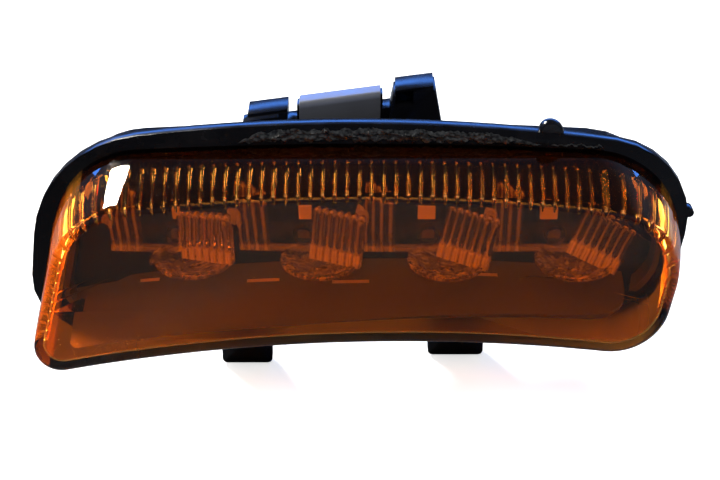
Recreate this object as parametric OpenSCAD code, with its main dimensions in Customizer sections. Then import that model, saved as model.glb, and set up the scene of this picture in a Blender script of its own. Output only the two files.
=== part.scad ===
// Side repeater lamp for a vehicle's bodywork: a black flanged housing, an amber lens fluted on the inside,
// four clear light-guide optics over upward-firing diodes, a sheet-steel spring clip above and two tongues below.
// Millimetres. X runs along the lamp, the lens faces -Y and +Z is up.
// The origin lies on the flange's back face, the face that seats on the bodywork.

/* [Flange] */
// Width of the flange at the height of the origin
flange_w = 149.4; // [148:0.2:156]
// Height of the flange's upper edge at its crown
flange_top = 29.2; // [28.6:0.2:32]
// Depth of the flange's lower edge below the origin, at its crown
flange_drop = 20.4; // [19:0.2:24]
// Thickness of the flange
flange_t = 3; // [2:0.1:4]
// Radius of the long upper arc
flange_arc_r = 400; // [380:10:600]
// Radius of the upper left corner
flange_left_r = 29; // [22:0.5:32]
// Radius of the upper right corner
flange_right_r = 20.5; // [16:0.5:24]

/* [Lens] */
// Depth of the lens in front of the flange
lens_depth = 20; // [18:0.5:24]
// Thickness of the lens's walls and face
lens_wall = 2.2; // [1.8:0.1:2.4]
// Flange left bare above the lens
bare_top = 4.8; // [4:0.1:6]
// Flange left bare below the lens
bare_bottom = 3.9; // [2.8:0.1:5]
// Flange left bare at the left end
bare_left = 4.4; // [3:0.1:6]
// Flange left bare at the right end
bare_right = 1.9; // [1.4:0.1:4]
// How far the lens's face is drawn in at the left end
draft_left = 2; // [1:0.1:3]
// How far the lens's face is drawn in at the right end
draft_right = 3.5; // [2:0.1:4.4]
// How far the lens's upper wall falls towards the face
draft_top = 2.9; // [2:0.1:3.4]
// How far the lens's lower wall rises towards the face
draft_bottom = 1.2; // [0.6:0.1:1.6]
// Rounding between the lens's walls and its face
lens_edge_r = 1.6; // [1:0.1:2.2]
// Outward bow of the lens's walls
wall_bow = 0.6; // [0:0.1:1]

/* [Flutes] */
// Flutes along the lens's upper wall
flutes_top = 40; // [30:1:44]
// Width of a flute at its foot
flute_w = 0.85; // [0.6:0.05:1.3]
// Height of a flute
flute_h = 0.9; // [0.4:0.05:1]
// Plain band between the flange and the flutes
flute_start = 5.6; // [2:0.1:7]

/* [Housing] */
// Thickness of the housing's walls
shell_wall = 2; // [1.4:0.1:2.4]
// Depth of the tub behind the flange
tub_depth = 10.8; // [10.4:0.1:11]
// Width of the deeper box behind the tub
box_w = 66; // [62:1:72]
// Depth of the deeper box at the origin, from the flange's back face
box_depth = 24.4; // [24:0.2:27]
// Angle of the box's back wall to the flange
box_yaw = 9.8; // [8:0.2:11]
// Height of the box's upper wall
box_top = 13.8; // [13.2:0.2:15]

/* [Fixings] */
// Width of the spring clip
clip_w = 18.8; // [16:0.1:20]
// Height of the spring clip's crest
clip_top = 27.8; // [26.8:0.1:28.4]
// Depth of the spring clip
clip_depth = 7; // [6:0.1:7.4]
// Thickness of the clip's sheet steel
clip_sheet = 0.5; // [0.4:0.05:0.7]
// Angle of the clip and its guide blocks to the flange
clip_yaw = 18; // [13:0.5:19]
// Height of the left guide block
left_block_top = 26; // [25.4:0.1:27]
// Height of the right guide block
right_block_top = 29.3; // [28.4:0.1:30]
// Width of the left tongue
left_tongue_w = 12.2; // [10:0.2:14]
// Width of the right tongue
right_tongue_w = 13.6; // [11:0.2:14]
// Reach of the tongues below the origin
tongue_drop = 37.4; // [34:0.2:39]
// Thickness of a tongue
tongue_t = 2.6; // [2:0.1:3]
// Gap between the flange and the first tongue, which takes the bodywork
panel_gap = 2.5; // [2.2:0.1:3]
// Distance between the tongues' middles
tongue_spacing = 51; // [46:0.2:54]

/* [Optics] */
// Radius of a collimator bowl at its rim
bowl_r = 9.2; // [8.4:0.1:9.6]
// Width of the fluted block
block_w = 12.4; // [11:0.2:13]
// Height of the fluted block
block_h = 11.8; // [10:0.1:12.4]
// Thickness of the fluted block
block_t = 2.6; // [2:0.1:3]
// Width of the narrower wing
wing_w = 7.4; // [6:0.1:7.8]
// Height of the wing's top
wing_top = 12.2; // [11:0.1:13.2]
// Flutes on the block
block_flutes = 7; // [5:1:7]

/* [Connector] */
// Width of the socket's mouth
socket_w = 13; // [11:0.2:15]
// Height of the socket's mouth
socket_h = 8; // [7:0.2:9]
// Length of the socket behind the box
socket_reach = 12; // [11:0.5:16]
// Length of the pins inside the socket
pin_reach = 6; // [4:0.2:6.4]

/* [Circuit board] */
// Thickness of the board
board_t = 1.2; // [0.8:0.1:1.3]
// Width of the board
board_w = 104; // [100:1:106]
// Height of the board
board_h = 20; // [18:0.5:21]
// Side of one light-emitting diode
led_side = 2.8; // [2:0.1:3.4]
// Height of one light-emitting diode
led_h = 0.8; // [0.5:0.05:0.85]

/* [Hidden] */
$fn = 48;
eps = 0.01;

// Beyond every solid, for cuts that go right through
far = 60;
// Places along the lamp, and the optics' widths, are stated for a flange 149.4 wide and stretch with it.
stretch = flange_w / 149.4;

housing_black = "#161618";
lens_amber = "#c8640c";
clear_acrylic = "#f4c58a";

// A lamp outline is [upper edge, lower edge, left edge, right edge, corner radii].
// The long edges are [height at the crown, radius, place of the crown]. The short ones are
// [place at the height of the origin, lean in degrees]. The corners run from upper left, clockwise.
flange_shape = [
    [flange_top, flange_arc_r, -1],
    [-flange_drop, 480, 6],
    [-flange_w / 2 - 0.3, 8.2],
    [flange_w / 2 - 0.4, 8.5],
    [flange_left_r, flange_right_r, 19, 14]
];
base_shape = [
    [flange_top - bare_top, 900, 1],
    [-flange_drop + bare_bottom, 420, 7],
    [-flange_w / 2 + bare_left, 11],
    [flange_w / 2 - bare_right, 4],
    [21, 22, 15, 9]
];
face_shape = [
    [flange_top - bare_top - draft_top, 380, 1],
    [-flange_drop + bare_bottom + draft_bottom, 380, 10],
    [-flange_w / 2 + bare_left + draft_left, 15.5],
    [flange_w / 2 - bare_right - draft_right, 9.3],
    [19.5, 17, 12, 5.5]
];

// Steps along each stretch of an outline, from the middle of the right end round by the top.
plate_steps = [1, 7, 16, 8, 1, 1, 6, 16, 7, 1];
lens_steps = [3, 6, flutes_top, 7, 4, 4, 7, flutes_top, 6, 3];
// The lower wall and its two corners have no flutes.
fluted = [1, 1, 1, 1, 1, 1, 0, 0, 0, 1];

function mix(a, b, t) = a + (b - a) * t;
function toward(angle) = [cos(angle), sin(angle)];
function heading(v) = atan2(v[1], v[0]);
function sum_to(list, n, i = 0) = i >= n ? 0 : list[i] + sum_to(list, n, i + 1);

// The centre of a corner that touches an end, which leans, and a long arc on reach from that arc's centre.
function corner_centre(end, side, r, arc_centre, reach) =
    let (along_end = [sin(end[1]), cos(end[1])], out = side * [cos(end[1]), -sin(end[1])],
        start = [end[0], 0] - r * out, away = start - arc_centre, b = away * along_end)
    start + (-b + sqrt(b * b - away * away + reach * reach)) * along_end;

// The values that the outline's points need: arc centres, corner centres and the directions where they meet.
function outline_of(s) =
    let (top = [s[0][2], s[0][0] - s[0][1]], bottom = [s[1][2], s[1][0] - s[1][1]],
        tl = corner_centre(s[2], -1, s[4][0], top, s[0][1] - s[4][0]),
        tr = corner_centre(s[3], 1, s[4][1], top, s[0][1] - s[4][1]),
        br = corner_centre(s[3], 1, s[4][2], bottom, s[1][1] + s[4][2]),
        bl = corner_centre(s[2], -1, s[4][3], bottom, s[1][1] + s[4][3]))
    [s, top, bottom, tl, tr, br, bl];

// A point on stretch n of an outline, a share t along it, drawn in by inset.
function outline_point(o, n, t, inset) =
    let (s = o[0], radii = s[4] - inset * [1, 1, 1, 1],
        left = 180 - s[2][1], right = -s[3][1],
        right_top = o[4] + radii[1] * toward(right), right_low = o[5] + radii[2] * toward(right),
        left_top = o[3] + radii[0] * toward(left), left_low = o[6] + radii[3] * toward(left))
    n == 0 ? mix((right_top + right_low) / 2, right_top, t)
    : n == 1 ? o[4] + radii[1] * toward(mix(right, heading(o[4] - o[1]), t))
    : n == 2 ? o[1] + (s[0][1] - inset) * toward(mix(heading(o[4] - o[1]), heading(o[3] - o[1]), t))
    : n == 3 ? o[3] + radii[0] * toward(mix(heading(o[3] - o[1]), left, t))
    : n == 4 ? mix(left_top, (left_top + left_low) / 2, t)
    : n == 5 ? mix((left_top + left_low) / 2, left_low, t)
    : n == 6 ? o[6] + radii[3] * toward(mix(left, 360 + heading(o[2] - o[6]), t))
    : n == 7 ? o[2] + (s[1][1] + inset) * toward(mix(heading(o[6] - o[2]), heading(o[5] - o[2]), t))
    : n == 8 ? o[5] + radii[2] * toward(mix(360 + heading(o[2] - o[5]), 360 + right, t))
    : mix(right_low, (right_top + right_low) / 2, t);

function outline(s, inset = 0, steps = plate_steps) =
    let (o = outline_of(s))
    [for (n = [0 : 9]) for (k = [0 : steps[n] - 1]) outline_point(o, n, k / steps[n], inset)];

// Heights of an outline's long edges at a place along the lamp.
function upper_edge(s, x) = s[0][0] - s[0][1] + sqrt(pow(s[0][1], 2) - pow(x - s[0][2], 2));
function lower_edge(s, x) = s[1][0] - s[1][1] + sqrt(pow(s[1][1], 2) - pow(x - s[1][2], 2));

// A flat plate of a lamp outline between two depths.
module plate(s, from, to, inset = 0) {
    translate([0, to, 0])
        rotate([90, 0, 0])
            linear_extrude(to - from)
                polygon(outline(s, inset));
}

// A profile in Y and Z, extruded along X between two places.
module along_x(from, to) {
    translate([from, 0, 0])
        rotate([90, 0, 90])
            linear_extrude(to - from)
                children();
}

// A profile in X and Z, extruded along Y between two depths.
module along_y(from, to) {
    translate([0, to, 0])
        rotate([90, 0, 0])
            linear_extrude(to - from)
                children();
}

// A rectangle with round corners, from true circles.
module round_rect(w, h, r) {
    square([w - 2 * r, h], center = true);
    square([w, h - 2 * r], center = true);
    for (x = [-1, 1])
        for (y = [-1, 1])
            translate([x * (w / 2 - r), y * (h / 2 - r)])
                circle(r);
}

// Lens

flange_face = -flange_t;
lens_face = flange_face - lens_depth;
lens_back = lens_face + lens_wall;
// Rounding inside the face's edge, where the flutes run out
lens_fillet = 0.9;

// The wall's place at depth y is between the base outline and the face outline, with a slight bow.
function wall_point(base, face, n, t, y, inset, bow = 1) =
    let (share = (flange_face - y) / lens_depth, swell = bow * wall_bow * 4 * share * (1 - share),
        p = mix(outline_point(base, n, t, inset - swell), outline_point(face, n, t, inset - swell), min(1, share)))
    [p[0], y, p[1]];

function plain_ring(base, face, y, inset) =
    [for (n = [0 : 9]) for (k = [0 : lens_steps[n] - 1])
        wall_point(base, face, n, k / lens_steps[n], y, inset)];

// Four points a step: the step's start, a flute's foot, its crest and its other foot.
function flute_places(n) = let (half = flute_w / 5.6) [[0, 0], [0.5 - half, 0], [0.5, fluted[n]], [0.5 + half, 0]];
function fluted_ring(base, face, y, inset) =
    [for (n = [0 : 9]) for (k = [0 : lens_steps[n] - 1]) for (f = flute_places(n))
        wall_point(base, face, n, (k + f[0]) / lens_steps[n], y, inset + f[1] * flute_h)];

// Two triangles for each gap between rings a and b, which start at those numbers in the list of points.
function band(a, b, n) =
    [for (i = [0 : n - 1]) for (f = [[a + i, b + (i + 1) % n, b + i], [a + i, a + (i + 1) % n, b + (i + 1) % n]]) f];

// From a plain ring a of n points to a fluted ring b with four times as many.
function widening_band(a, b, n) =
    [for (i = [0 : n - 1]) for (f = [
        [a + i, b + 4 * i + 1, b + 4 * i],
        [a + i, b + 4 * i + 2, b + 4 * i + 1],
        [a + i, a + (i + 1) % n, b + 4 * i + 2],
        [a + (i + 1) % n, b + 4 * i + 3, b + 4 * i + 2],
        [a + (i + 1) % n, b + (4 * i + 4) % (4 * n), b + 4 * i + 3]]) f];

// From a fluted ring a, with four points a step, back to a plain ring b of n points.
function narrowing_band(a, b, n) =
    [for (i = [0 : n - 1]) for (f = [
        [b + i, a + 4 * i, a + 4 * i + 1],
        [b + i, a + 4 * i + 1, a + 4 * i + 2],
        [b + i, a + 4 * i + 2, b + (i + 1) % n],
        [b + (i + 1) % n, a + 4 * i + 2, a + 4 * i + 3],
        [b + (i + 1) % n, a + 4 * i + 3, a + (4 * i + 4) % (4 * n)]]) f];

// A flat cap over the ring that starts at a: strips between the long edges, and a fan at each end.
function cap(a, steps, left_hub, right_hub) =
    let (n = sum_to(steps, 10), top = sum_to(steps, 2), top_end = sum_to(steps, 3),
        low = sum_to(steps, 7), low_end = sum_to(steps, 8))
    concat(
        [for (k = [0 : steps[2] - 1]) for (f = [
            [a + top + k, a + low_end - k - 1, a + low_end - k],
            [a + top + k, a + top + k + 1, a + low_end - k - 1]]) f],
        [for (i = [top_end : low - 1]) [a + i, a + i + 1, left_hub]],
        [[a + low, a + top_end, left_hub], [a + top, a + low_end, right_hub]],
        [for (i = [low_end : n + top - 1]) [a + i % n, a + (i + 1) % n, right_hub]]);

// The middle of each fan, between the end's edge and the ends of the long edges.
function left_hub(o) =
    mix(outline_point(o, 5, 0, 0), (outline_point(o, 3, 0, 0) + outline_point(o, 7, 0, 0)) / 2, 0.5);
function right_hub(o) =
    mix(outline_point(o, 0, 0, 0), (outline_point(o, 2, 0, 0) + outline_point(o, 8, 0, 0)) / 2, 0.5);

function flipped(faces) = [for (f = faces) [f[0], f[2], f[1]]];

module lens() {
    base = outline_of(base_shape);
    face = outline_of(face_shape);
    n = sum_to(lens_steps, 10);
    edge = [for (a = [30, 60, 90]) [lens_face + lens_edge_r * (1 - sin(a)), lens_edge_r * (1 - cos(a))]];
    outer_rings = concat(
        [[flange_face, 0], [flange_face - lens_depth * 0.25, 0], [flange_face - lens_depth * 0.6, 0],
            [lens_face + lens_edge_r, 0]],
        edge);
    inner_rings = [[flange_face, lens_wall], [flange_face - flute_start, lens_wall]];
    fluted_rings = [[flange_face - flute_start - 0.4, lens_wall], [lens_back + lens_fillet, lens_wall]];
    hubs = [left_hub(face), right_hub(face)];
    points = concat(
        [for (r = outer_rings) for (p = plain_ring(base, face, r[0], r[1])) p],
        [for (r = inner_rings) for (p = plain_ring(base, face, r[0], r[1])) p],
        [for (r = fluted_rings) for (p = fluted_ring(base, face, r[0], r[1])) p],
        plain_ring(base, face, lens_back, lens_wall + lens_fillet),
        [for (h = hubs) [h[0], lens_face, h[1]]],
        [for (h = hubs) [h[0], lens_back, h[1]]]);
    inner = len(outer_rings) * n;
    flutes = inner + 2 * n;
    last = flutes + 8 * n;
    outer_hub = last + n;
    faces = concat(
        [for (i = [0 : len(outer_rings) - 2]) for (f = band(i * n, (i + 1) * n, n)) f],
        cap((len(outer_rings) - 1) * n, lens_steps, outer_hub, outer_hub + 1),
        flipped(band(0, inner, n)),
        flipped(band(inner, inner + n, n)),
        flipped(widening_band(inner + n, flutes, n)),
        flipped(band(flutes, flutes + 4 * n, 4 * n)),
        flipped(narrowing_band(flutes + 4 * n, last, n)),
        flipped(cap(last, lens_steps, outer_hub + 2, outer_hub + 3)));
    color(lens_amber, 0.6)
        polyhedron(points, faces, convexity = 8);
}

// Housing

tub_inset = 1;
cavity_inset = tub_inset + shell_wall;
tub_floor = tub_depth - shell_wall;
box_low = -11;

function box_back(x) = box_depth + x * tan(box_yaw);

module box_block(inset, from) {
    half = box_w / 2 - inset;
    translate([0, 0, box_low + inset])
        linear_extrude(box_top - box_low - 2 * inset)
            polygon([[-half, from], [half, from], [half, box_back(half) - inset], [-half, box_back(-half) - inset]]);
}

// The front of the clip's row: each item starts on a slanting line through its own middle.
row_slope = tan(clip_yaw);
clip_x = -4.6;
clip_front = 14.3;
left_block = [-25.7, -16.7];
left_front = 10.7;
left_depth = 7.4;
right_block = [8.2, 17.2];
right_front = 16.7;
right_depth = 8.1;

function slanted(x, middle, front) = front + (x - middle) * row_slope;

// A footprint with ends along Y and a slanting front and back.
module slanted_footprint(ends, middle, front, depth) {
    polygon([[ends[0], slanted(ends[0], middle, front)], [ends[1], slanted(ends[1], middle, front)],
        [ends[1], slanted(ends[1], middle, front) + depth], [ends[0], slanted(ends[0], middle, front) + depth]]);
}

module left_guide_block() {
    middle = (left_block[0] + left_block[1]) / 2;
    ledge = [left_block[0] - 0.9, left_block[1]];
    difference() {
        union() {
            translate([0, 0, box_top - 1])
                linear_extrude(left_block_top - box_top + 1)
                    slanted_footprint(left_block, middle, left_front, left_depth);
            translate([0, 0, box_top - 1])
                linear_extrude(left_block_top - box_top + 0.5)
                    slanted_footprint(ledge, middle, left_front - 2.6, 4);
        }
        translate([ledge[1] - 2, left_front - 4, left_block_top - 3.4])
            cube([3, 4.6, 4]);
    }
}

module right_guide_block() {
    middle = (right_block[0] + right_block[1]) / 2;
    body = [right_block[0] - 3.3, right_block[1] + 3.2];
    pocket = [right_block[0], right_block[0] + 4.2];
    difference() {
        union() {
            translate([0, 0, box_top - 1])
                linear_extrude(right_block_top - box_top + 1)
                    slanted_footprint(right_block, middle, right_front, right_depth);
            intersection() {
                translate([0, 0, box_top - 1])
                    linear_extrude(right_block_top - box_top)
                        slanted_footprint(body, middle, right_front - 0.4, right_depth + 0.2);
                along_y(right_front - 6, right_front + 16)
                    polygon([[body[0], box_top - 1], [body[1], box_top - 1],
                        [right_block[1] + 0.3, right_block_top - 0.4],
                        [right_block[0] - 0.2, right_block_top - 0.4]]);
            }
        }
        translate([0, 0, right_block_top - 4.1])
            linear_extrude(3.5)
                slanted_footprint(pocket, middle, right_front - 3, 6);
    }
}

// The rail that the spring clip is pushed over, between the two guide blocks.
clip_gap = 0.2;
clip_h = clip_top - box_top;
clip_bend_front = 1.4;
clip_bend_back = 2.6;

// The clip's outline in Y and Z, drawn in by inset, with a round bend at the front and at the back.
module clip_section(inset) {
    front_r = clip_bend_front - inset;
    back_r = clip_bend_back - inset;
    depth = clip_depth * cos(clip_yaw);
    top = clip_h - inset;
    translate([inset, -1])
        square([front_r + 1, top - front_r + 1]);
    translate([inset + front_r, -1])
        square([depth - 2 * inset - front_r - back_r, top + 1]);
    translate([depth - inset - back_r - 1, -1])
        square([back_r + 1, top - back_r + 1]);
    translate([inset + front_r, top - front_r])
        circle(front_r);
    translate([depth - inset - back_r, top - back_r])
        circle(back_r);
}

// The rail is high under the clip and lower between its ends and the blocks.
web_drop = 3.8;
module clip_rail() {
    for (part = [[clip_x - clip_w / 2 - 0.5, clip_w + 1, 0],
        [left_block[1] - 1, right_block[0] - left_block[1] + 2, web_drop]])
        intersection() {
            translate([clip_x, clip_front, box_top])
                rotate([0, 0, clip_yaw])
                    along_x(-clip_w, clip_w)
                        clip_section(clip_sheet + clip_gap);
            translate([part[0], 0, 0])
                cube([part[1], 60, clip_top - clip_sheet - part[2]]);
        }
}

tongue_middle = -2;
tongue_yaw = 4;

// A tongue hangs from the tub, with round lower corners and a gusset behind.
module tongue(side) {
    tongue_w = side < 0 ? left_tongue_w : right_tongue_w;
    x = tongue_middle + side * tongue_spacing / 2;
    front = panel_gap + (side + 1) / 2 * tongue_spacing * tan(tongue_yaw);
    root = lower_edge(base_shape, x) + tub_inset + 0.5 * shell_wall;
    low = -tongue_drop;
    r = 1.3;
    along_y(front, front + tongue_t)
        union() {
            translate([x - tongue_w / 2, low + r])
                square([tongue_w, root - low - r]);
            translate([x - tongue_w / 2 + r, low])
                square([tongue_w - 2 * r, r + eps]);
            for (end = [-1, 1])
                translate([x + end * (tongue_w / 2 - r), low + r])
                    circle(r);
        }
    along_x(x - 1, x + 1)
        polygon([[front + tongue_t - eps, root], [tub_depth - 0.4, root],
            [tub_depth - 0.4, root - 2.6], [front + tongue_t + 0.6, root - 12], [front + tongue_t - eps, root - 12]]);
}

socket_x = -2;
socket_z = 1;
socket_wall = 1.6;
socket_floor = box_back(socket_x);
socket_mouth = socket_floor + socket_reach;

module socket_shroud() {
    along_y(socket_floor - shell_wall, socket_mouth)
        translate([socket_x, socket_z])
            round_rect(socket_w + 2 * socket_wall, socket_h + 2 * socket_wall, 2);
}

pin_spacing = 4;
pin_w = 0.8;
pin_h = 1.6;
pin_places = [for (i = [-1 : 1]) socket_x + i * pin_spacing];

board_z = 0.5;
screw_places = stretch * [-47, 47];
screw_z = 6.5;
vent_x = 22;
vent_z = 6;
vent_r = 4;
vent_recess = 0.6;

module housing() {
    color(housing_black)
        difference() {
            union() {
                plate(flange_shape, flange_face, 0);
                plate(base_shape, flange_face / 2, tub_depth, tub_inset);
                box_block(0, tub_depth - 1);
                left_guide_block();
                right_guide_block();
                clip_rail();
                tongue(-1);
                tongue(1);
                socket_shroud();
                // A small stop on the right-hand edge of the flange
                translate([flange_w / 2 + 0.2, flange_face, 7])
                    rotate([-90, 0, 0])
                        cylinder(h = flange_t, r = 1.1);
            }
            plate(base_shape, flange_face - 1, tub_floor, cavity_inset);
            box_block(shell_wall, tub_floor - 1);
            along_y(socket_floor, socket_mouth + 1)
                translate([socket_x, socket_z])
                    round_rect(socket_w, socket_h, 1);
            for (x = pin_places)
                translate([x - pin_w / 2, socket_floor - 2 * shell_wall, socket_z - pin_h / 2])
                    cube([pin_w, 3 * shell_wall, pin_h]);
            // A recess and a hole for the breather
            translate([vent_x, box_back(vent_x), vent_z])
                rotate([-90, 0, box_yaw])
                    translate([0, 0, -vent_recess])
                        cylinder(h = 2, r = vent_r);
            translate([vent_x, box_back(vent_x), vent_z])
                rotate([-90, 0, box_yaw])
                    translate([0, 0, -6])
                        cylinder(h = 7, r = 1);
        }
    color(housing_black)
        for (x = screw_places)
            screw_boss(x);
}

// A boss on the tub's floor, drilled for one of the board's screws.
boss_r = 2.6;
screw_shank_r = 1.1;
module screw_boss(x) {
    translate([x, board_back, screw_z])
        rotate([-90, 0, 0])
            difference() {
                cylinder(h = tub_floor - board_back + 1, r = boss_r);
                translate([0, 0, -1])
                    cylinder(h = tub_floor - board_back + 1, r = screw_shank_r);
            }
}

// Bezel

bezel_gap = 0.3;
bezel_t = 1.3;
bezel_face = 3;
bezel_back = bezel_face + bezel_t;
board_front = bezel_back + 1.4;
board_back = board_front + board_t;
floor_front_y = lens_back + 3;
floor_tilt = 13.7;
floor_rise = 3.2;
stud_places = stretch * [-56, -38, 38, 56];
stud_z = 13.5;
stud_r = 1.6;

first_optic = -40.5 * stretch;
optic_pitch = 29.5 * stretch;
function optic_x(i) = first_optic + i * optic_pitch;
peg_r = 0.9;
peg_places = stretch * [-12, 7];
inlet_x = -2.5 * stretch;
inlet_z = -1.2;
inlet_r = 2.2;

// A strip that follows the arch of the lens's lower edge, from low to high above it.
module arch_strip(low, high) {
    xs = [for (i = [-20 : 20]) i / 20 * flange_w / 2];
    polygon(concat(
        [for (x = xs) [x, lower_edge(face_shape, x) + low]],
        [for (i = [len(xs) - 1 : -1 : 0]) [xs[i], lower_edge(face_shape, xs[i]) + high]]));
}

// The floor in front of the optics rises towards the back wall, like a ramp.
module tilted_arch(low, high) {
    translate([0, floor_front_y, 0])
        rotate([floor_tilt, 0, 0])
            along_y(-8, 40)
                arch_strip(low, high);
}

// The floor's front edge runs back towards the right and turns a round corner at each end. Each point
// of the edge is a place along the lamp and a distance behind the edge's foremost part.
floor_edge = [[-64.5, 2.5], [-64, 1], [-62.5, 0], [-15, 0], [52, 5], [56.5, 6.2], [59.6, 8.5], [61.4, 11.5],
    [61.9, 15]];
module floor_panel() {
    last = len(floor_edge) - 1;
    plan = concat(
        [[floor_edge[0][0] * stretch, bezel_back]],
        [for (p = floor_edge) [p[0] * stretch, floor_front_y + p[1]]],
        [[floor_edge[last][0] * stretch, bezel_back]]);
    intersection() {
        tilted_arch(floor_rise - bezel_t, floor_rise);
        plate(face_shape, floor_front_y - 1, bezel_back, lens_wall + 0.6);
        translate([0, 0, -far])
            linear_extrude(2 * far)
                polygon(plan);
    }
}

// Narrow slots through the floor, as each one's middle, its distance behind the front edge and its length.
floor_slots = [[-51.4, 14.2, 4.8], [-23.5, 11.6, 7.6], [-2.7, 10.3, 8.6], [29.4, 13.2, 5.2]];
floor_slot_w = 0.9;
// A shallow recess with round ends in the floor's right part, as its two ends and its distance behind the front edge.
recess_ends = stretch * [39.2, 52.2];
recess_middle = 11.3;
recess_r = 2.1;
recess_depth = 0.35;

// What is cut from the floor, upright in the floor's own slanting frame.
module floor_cuts() {
    translate([0, floor_front_y, 0])
        rotate([floor_tilt, 0, 0])
            for (s = floor_slots)
                translate([s[0] * stretch - s[2] / 2, s[1] - floor_slot_w / 2, -far])
                    cube([s[2], floor_slot_w, far]);
    intersection() {
        tilted_arch(floor_rise - recess_depth, floor_rise + 1);
        translate([0, floor_front_y, 0])
            rotate([floor_tilt, 0, 0])
                translate([0, 0, -far])
                    linear_extrude(2 * far) {
                        translate([recess_ends[0], recess_middle - recess_r])
                            square([recess_ends[1] - recess_ends[0], 2 * recess_r]);
                        for (x = recess_ends)
                            translate([x, recess_middle])
                                circle(recess_r);
                    }
    }
}

module bezel_floor() {
    difference() {
        floor_panel();
        floor_cuts();
    }
}

// A shallow level band across the back wall's front, behind the optics.
band_low = -1.6;
band_high = 2.2;
band_depth = 0.4;
band_ends = stretch * [-62, 60];
module wall_band() {
    translate([band_ends[0], bezel_face - 1, band_low])
        cube([band_ends[1] - band_ends[0], 1 + band_depth, band_high - band_low]);
}

module inner_bezel() {
    color("#1d1b1a")
        difference() {
            union() {
                bezel_floor();
                // The back wall, with a shallow rim round its top and ends, stands on the floor
                difference() {
                    plate(base_shape, flange_face + 0.4, bezel_back, cavity_inset + bezel_gap);
                    plate(base_shape, flange_face - 1, bezel_face, cavity_inset + bezel_gap + bezel_t);
                    tilted_arch(-40, floor_rise - bezel_t / 2);
                }
                for (x = stud_places)
                    translate([x, bezel_back - eps, stud_z])
                        rotate([-90, 0, 0])
                            cylinder(h = tub_floor - bezel_back + eps, r = stud_r);
            }
            wall_band();
            for (i = [0 : 3]) {
                for (x = peg_places)
                    translate([optic_x(i) + x, bezel_face - 1, inlet_z])
                        rotate([-90, 0, 0])
                            cylinder(h = bezel_t + 2, r = peg_r + 0.1);
                translate([optic_x(i) + inlet_x, bezel_face - 1, inlet_z])
                    rotate([-90, 0, 0])
                        cylinder(h = bezel_t + 2, r = inlet_r + 0.3);
            }
        }
}

// Optics

// Each block turns and leans a little more than the one before.
block_yaws = [14, 18, 21, 26];
block_leans = [4, 12, 18, 24];
block_rolls = [0, 4, 8, 15];
// The square lug beside each block, as its middle and its width.
lugs = stretch * [[-1.8, 1.8], [-1.6, 3], [-3.2, 4.1], [-4.6, 4.1]];
lug_low = 4.1;
lug_h = 3.5;
block_x = 4.6 * stretch;
wing_x = -14.1 * stretch;
wing_y = 0.4;
wing_t = 2.2;
bowl_x = 1.4 * stretch;
bowl_y = -4.4;
bowl_rim = -4.6;
bowl_low = -8.3;
rim_t = 1.2;
block_foot = 2.8;
optic_back = bezel_face - 0.2;

rim_r = bowl_r * stretch;
block_span = block_w * stretch;
wing_span = wing_w * stretch;

// Half of a revolved bowl, wide at the rim, cut flat in front of the bezel's back wall.
module bowl() {
    depth = bowl_rim - bowl_low;
    intersection() {
        translate([bowl_x, bowl_y, bowl_low])
            rotate_extrude($fn = 64)
                polygon(concat(
                    [[0, 0.9], [1.2, 0.7], [2, 0]],
                    [for (t = [0 : 0.2 : 1]) [mix(2.6, rim_r - 0.6, pow(t, 0.8)), t * depth]],
                    [[rim_r, depth], [rim_r, depth + rim_t], [0, depth + rim_t]]));
        translate([bowl_x - 20, optic_back - 30, bowl_low - 1])
            cube([40, 30, 20]);
    }
}

module fluted_block(i) {
    pitch = block_span / block_flutes;
    intersection() {
        translate([block_x, bowl_y - 1.5, bowl_rim + rim_t / 2])
            rotate([-block_leans[i], block_rolls[i], -block_yaws[i]]) {
                translate([-block_span / 2, 0, 0])
                    cube([block_span, block_t, block_h + rim_t / 2]);
                for (k = [0 : block_flutes - 1])
                    translate([-block_span / 2 + (k + 0.5) * pitch, 0, block_foot])
                        cylinder(h = block_h + rim_t / 2 - block_foot, r = pitch * 0.38, $fn = 20);
            }
        translate([-30, optic_back - 30, bowl_rim])
            cube([60, 30, 40]);
    }
}

wing_flute_r = 0.7;
module wing() {
    half = wing_span / 2;
    translate([wing_x, wing_y, 0]) {
        along_y(0, wing_t)
            polygon([[-half, bowl_rim], [half, bowl_rim], [half, wing_top - 2.4], [-half + 1.6, wing_top],
                [-half + 0.7, wing_top], [-half, wing_top - 5]]);
        for (i = [0 : 2])
            translate([-half + 2.9 * stretch + i * (wing_span - 3.4 * stretch) / 2, 0, bowl_rim + rim_t])
                cylinder(h = wing_top - 3.4 - bowl_rim - rim_t, r = wing_flute_r, $fn = 20);
    }
}

// A square lug in front of the back plate
module lug(i) {
    translate([lugs[i][0] - lugs[i][1] / 2, wing_y, lug_low])
        cube([lugs[i][1], wing_t, lug_h]);
}

// The thin plate that joins the wing, the lug and the bowl, and seats on the bezel's back wall.
back_plate_t = 0.8;
back_plate_top = lug_low + lug_h - 0.5;
module back_plate() {
    left = wing_x - wing_span / 2 + 1;
    right = peg_places[1] + 2;
    translate([left, bezel_face - back_plate_t, bowl_rim])
        cube([right - left, back_plate_t, back_plate_top - bowl_rim]);
}

// A stub along Y at the height of the inlet, from the bar to depth y.
module stub(x, r, y) {
    translate([x, wing_y + 1, inlet_z])
        rotate([-90, 0, 0])
            cylinder(h = y - wing_y - 1, r = r);
}

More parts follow.
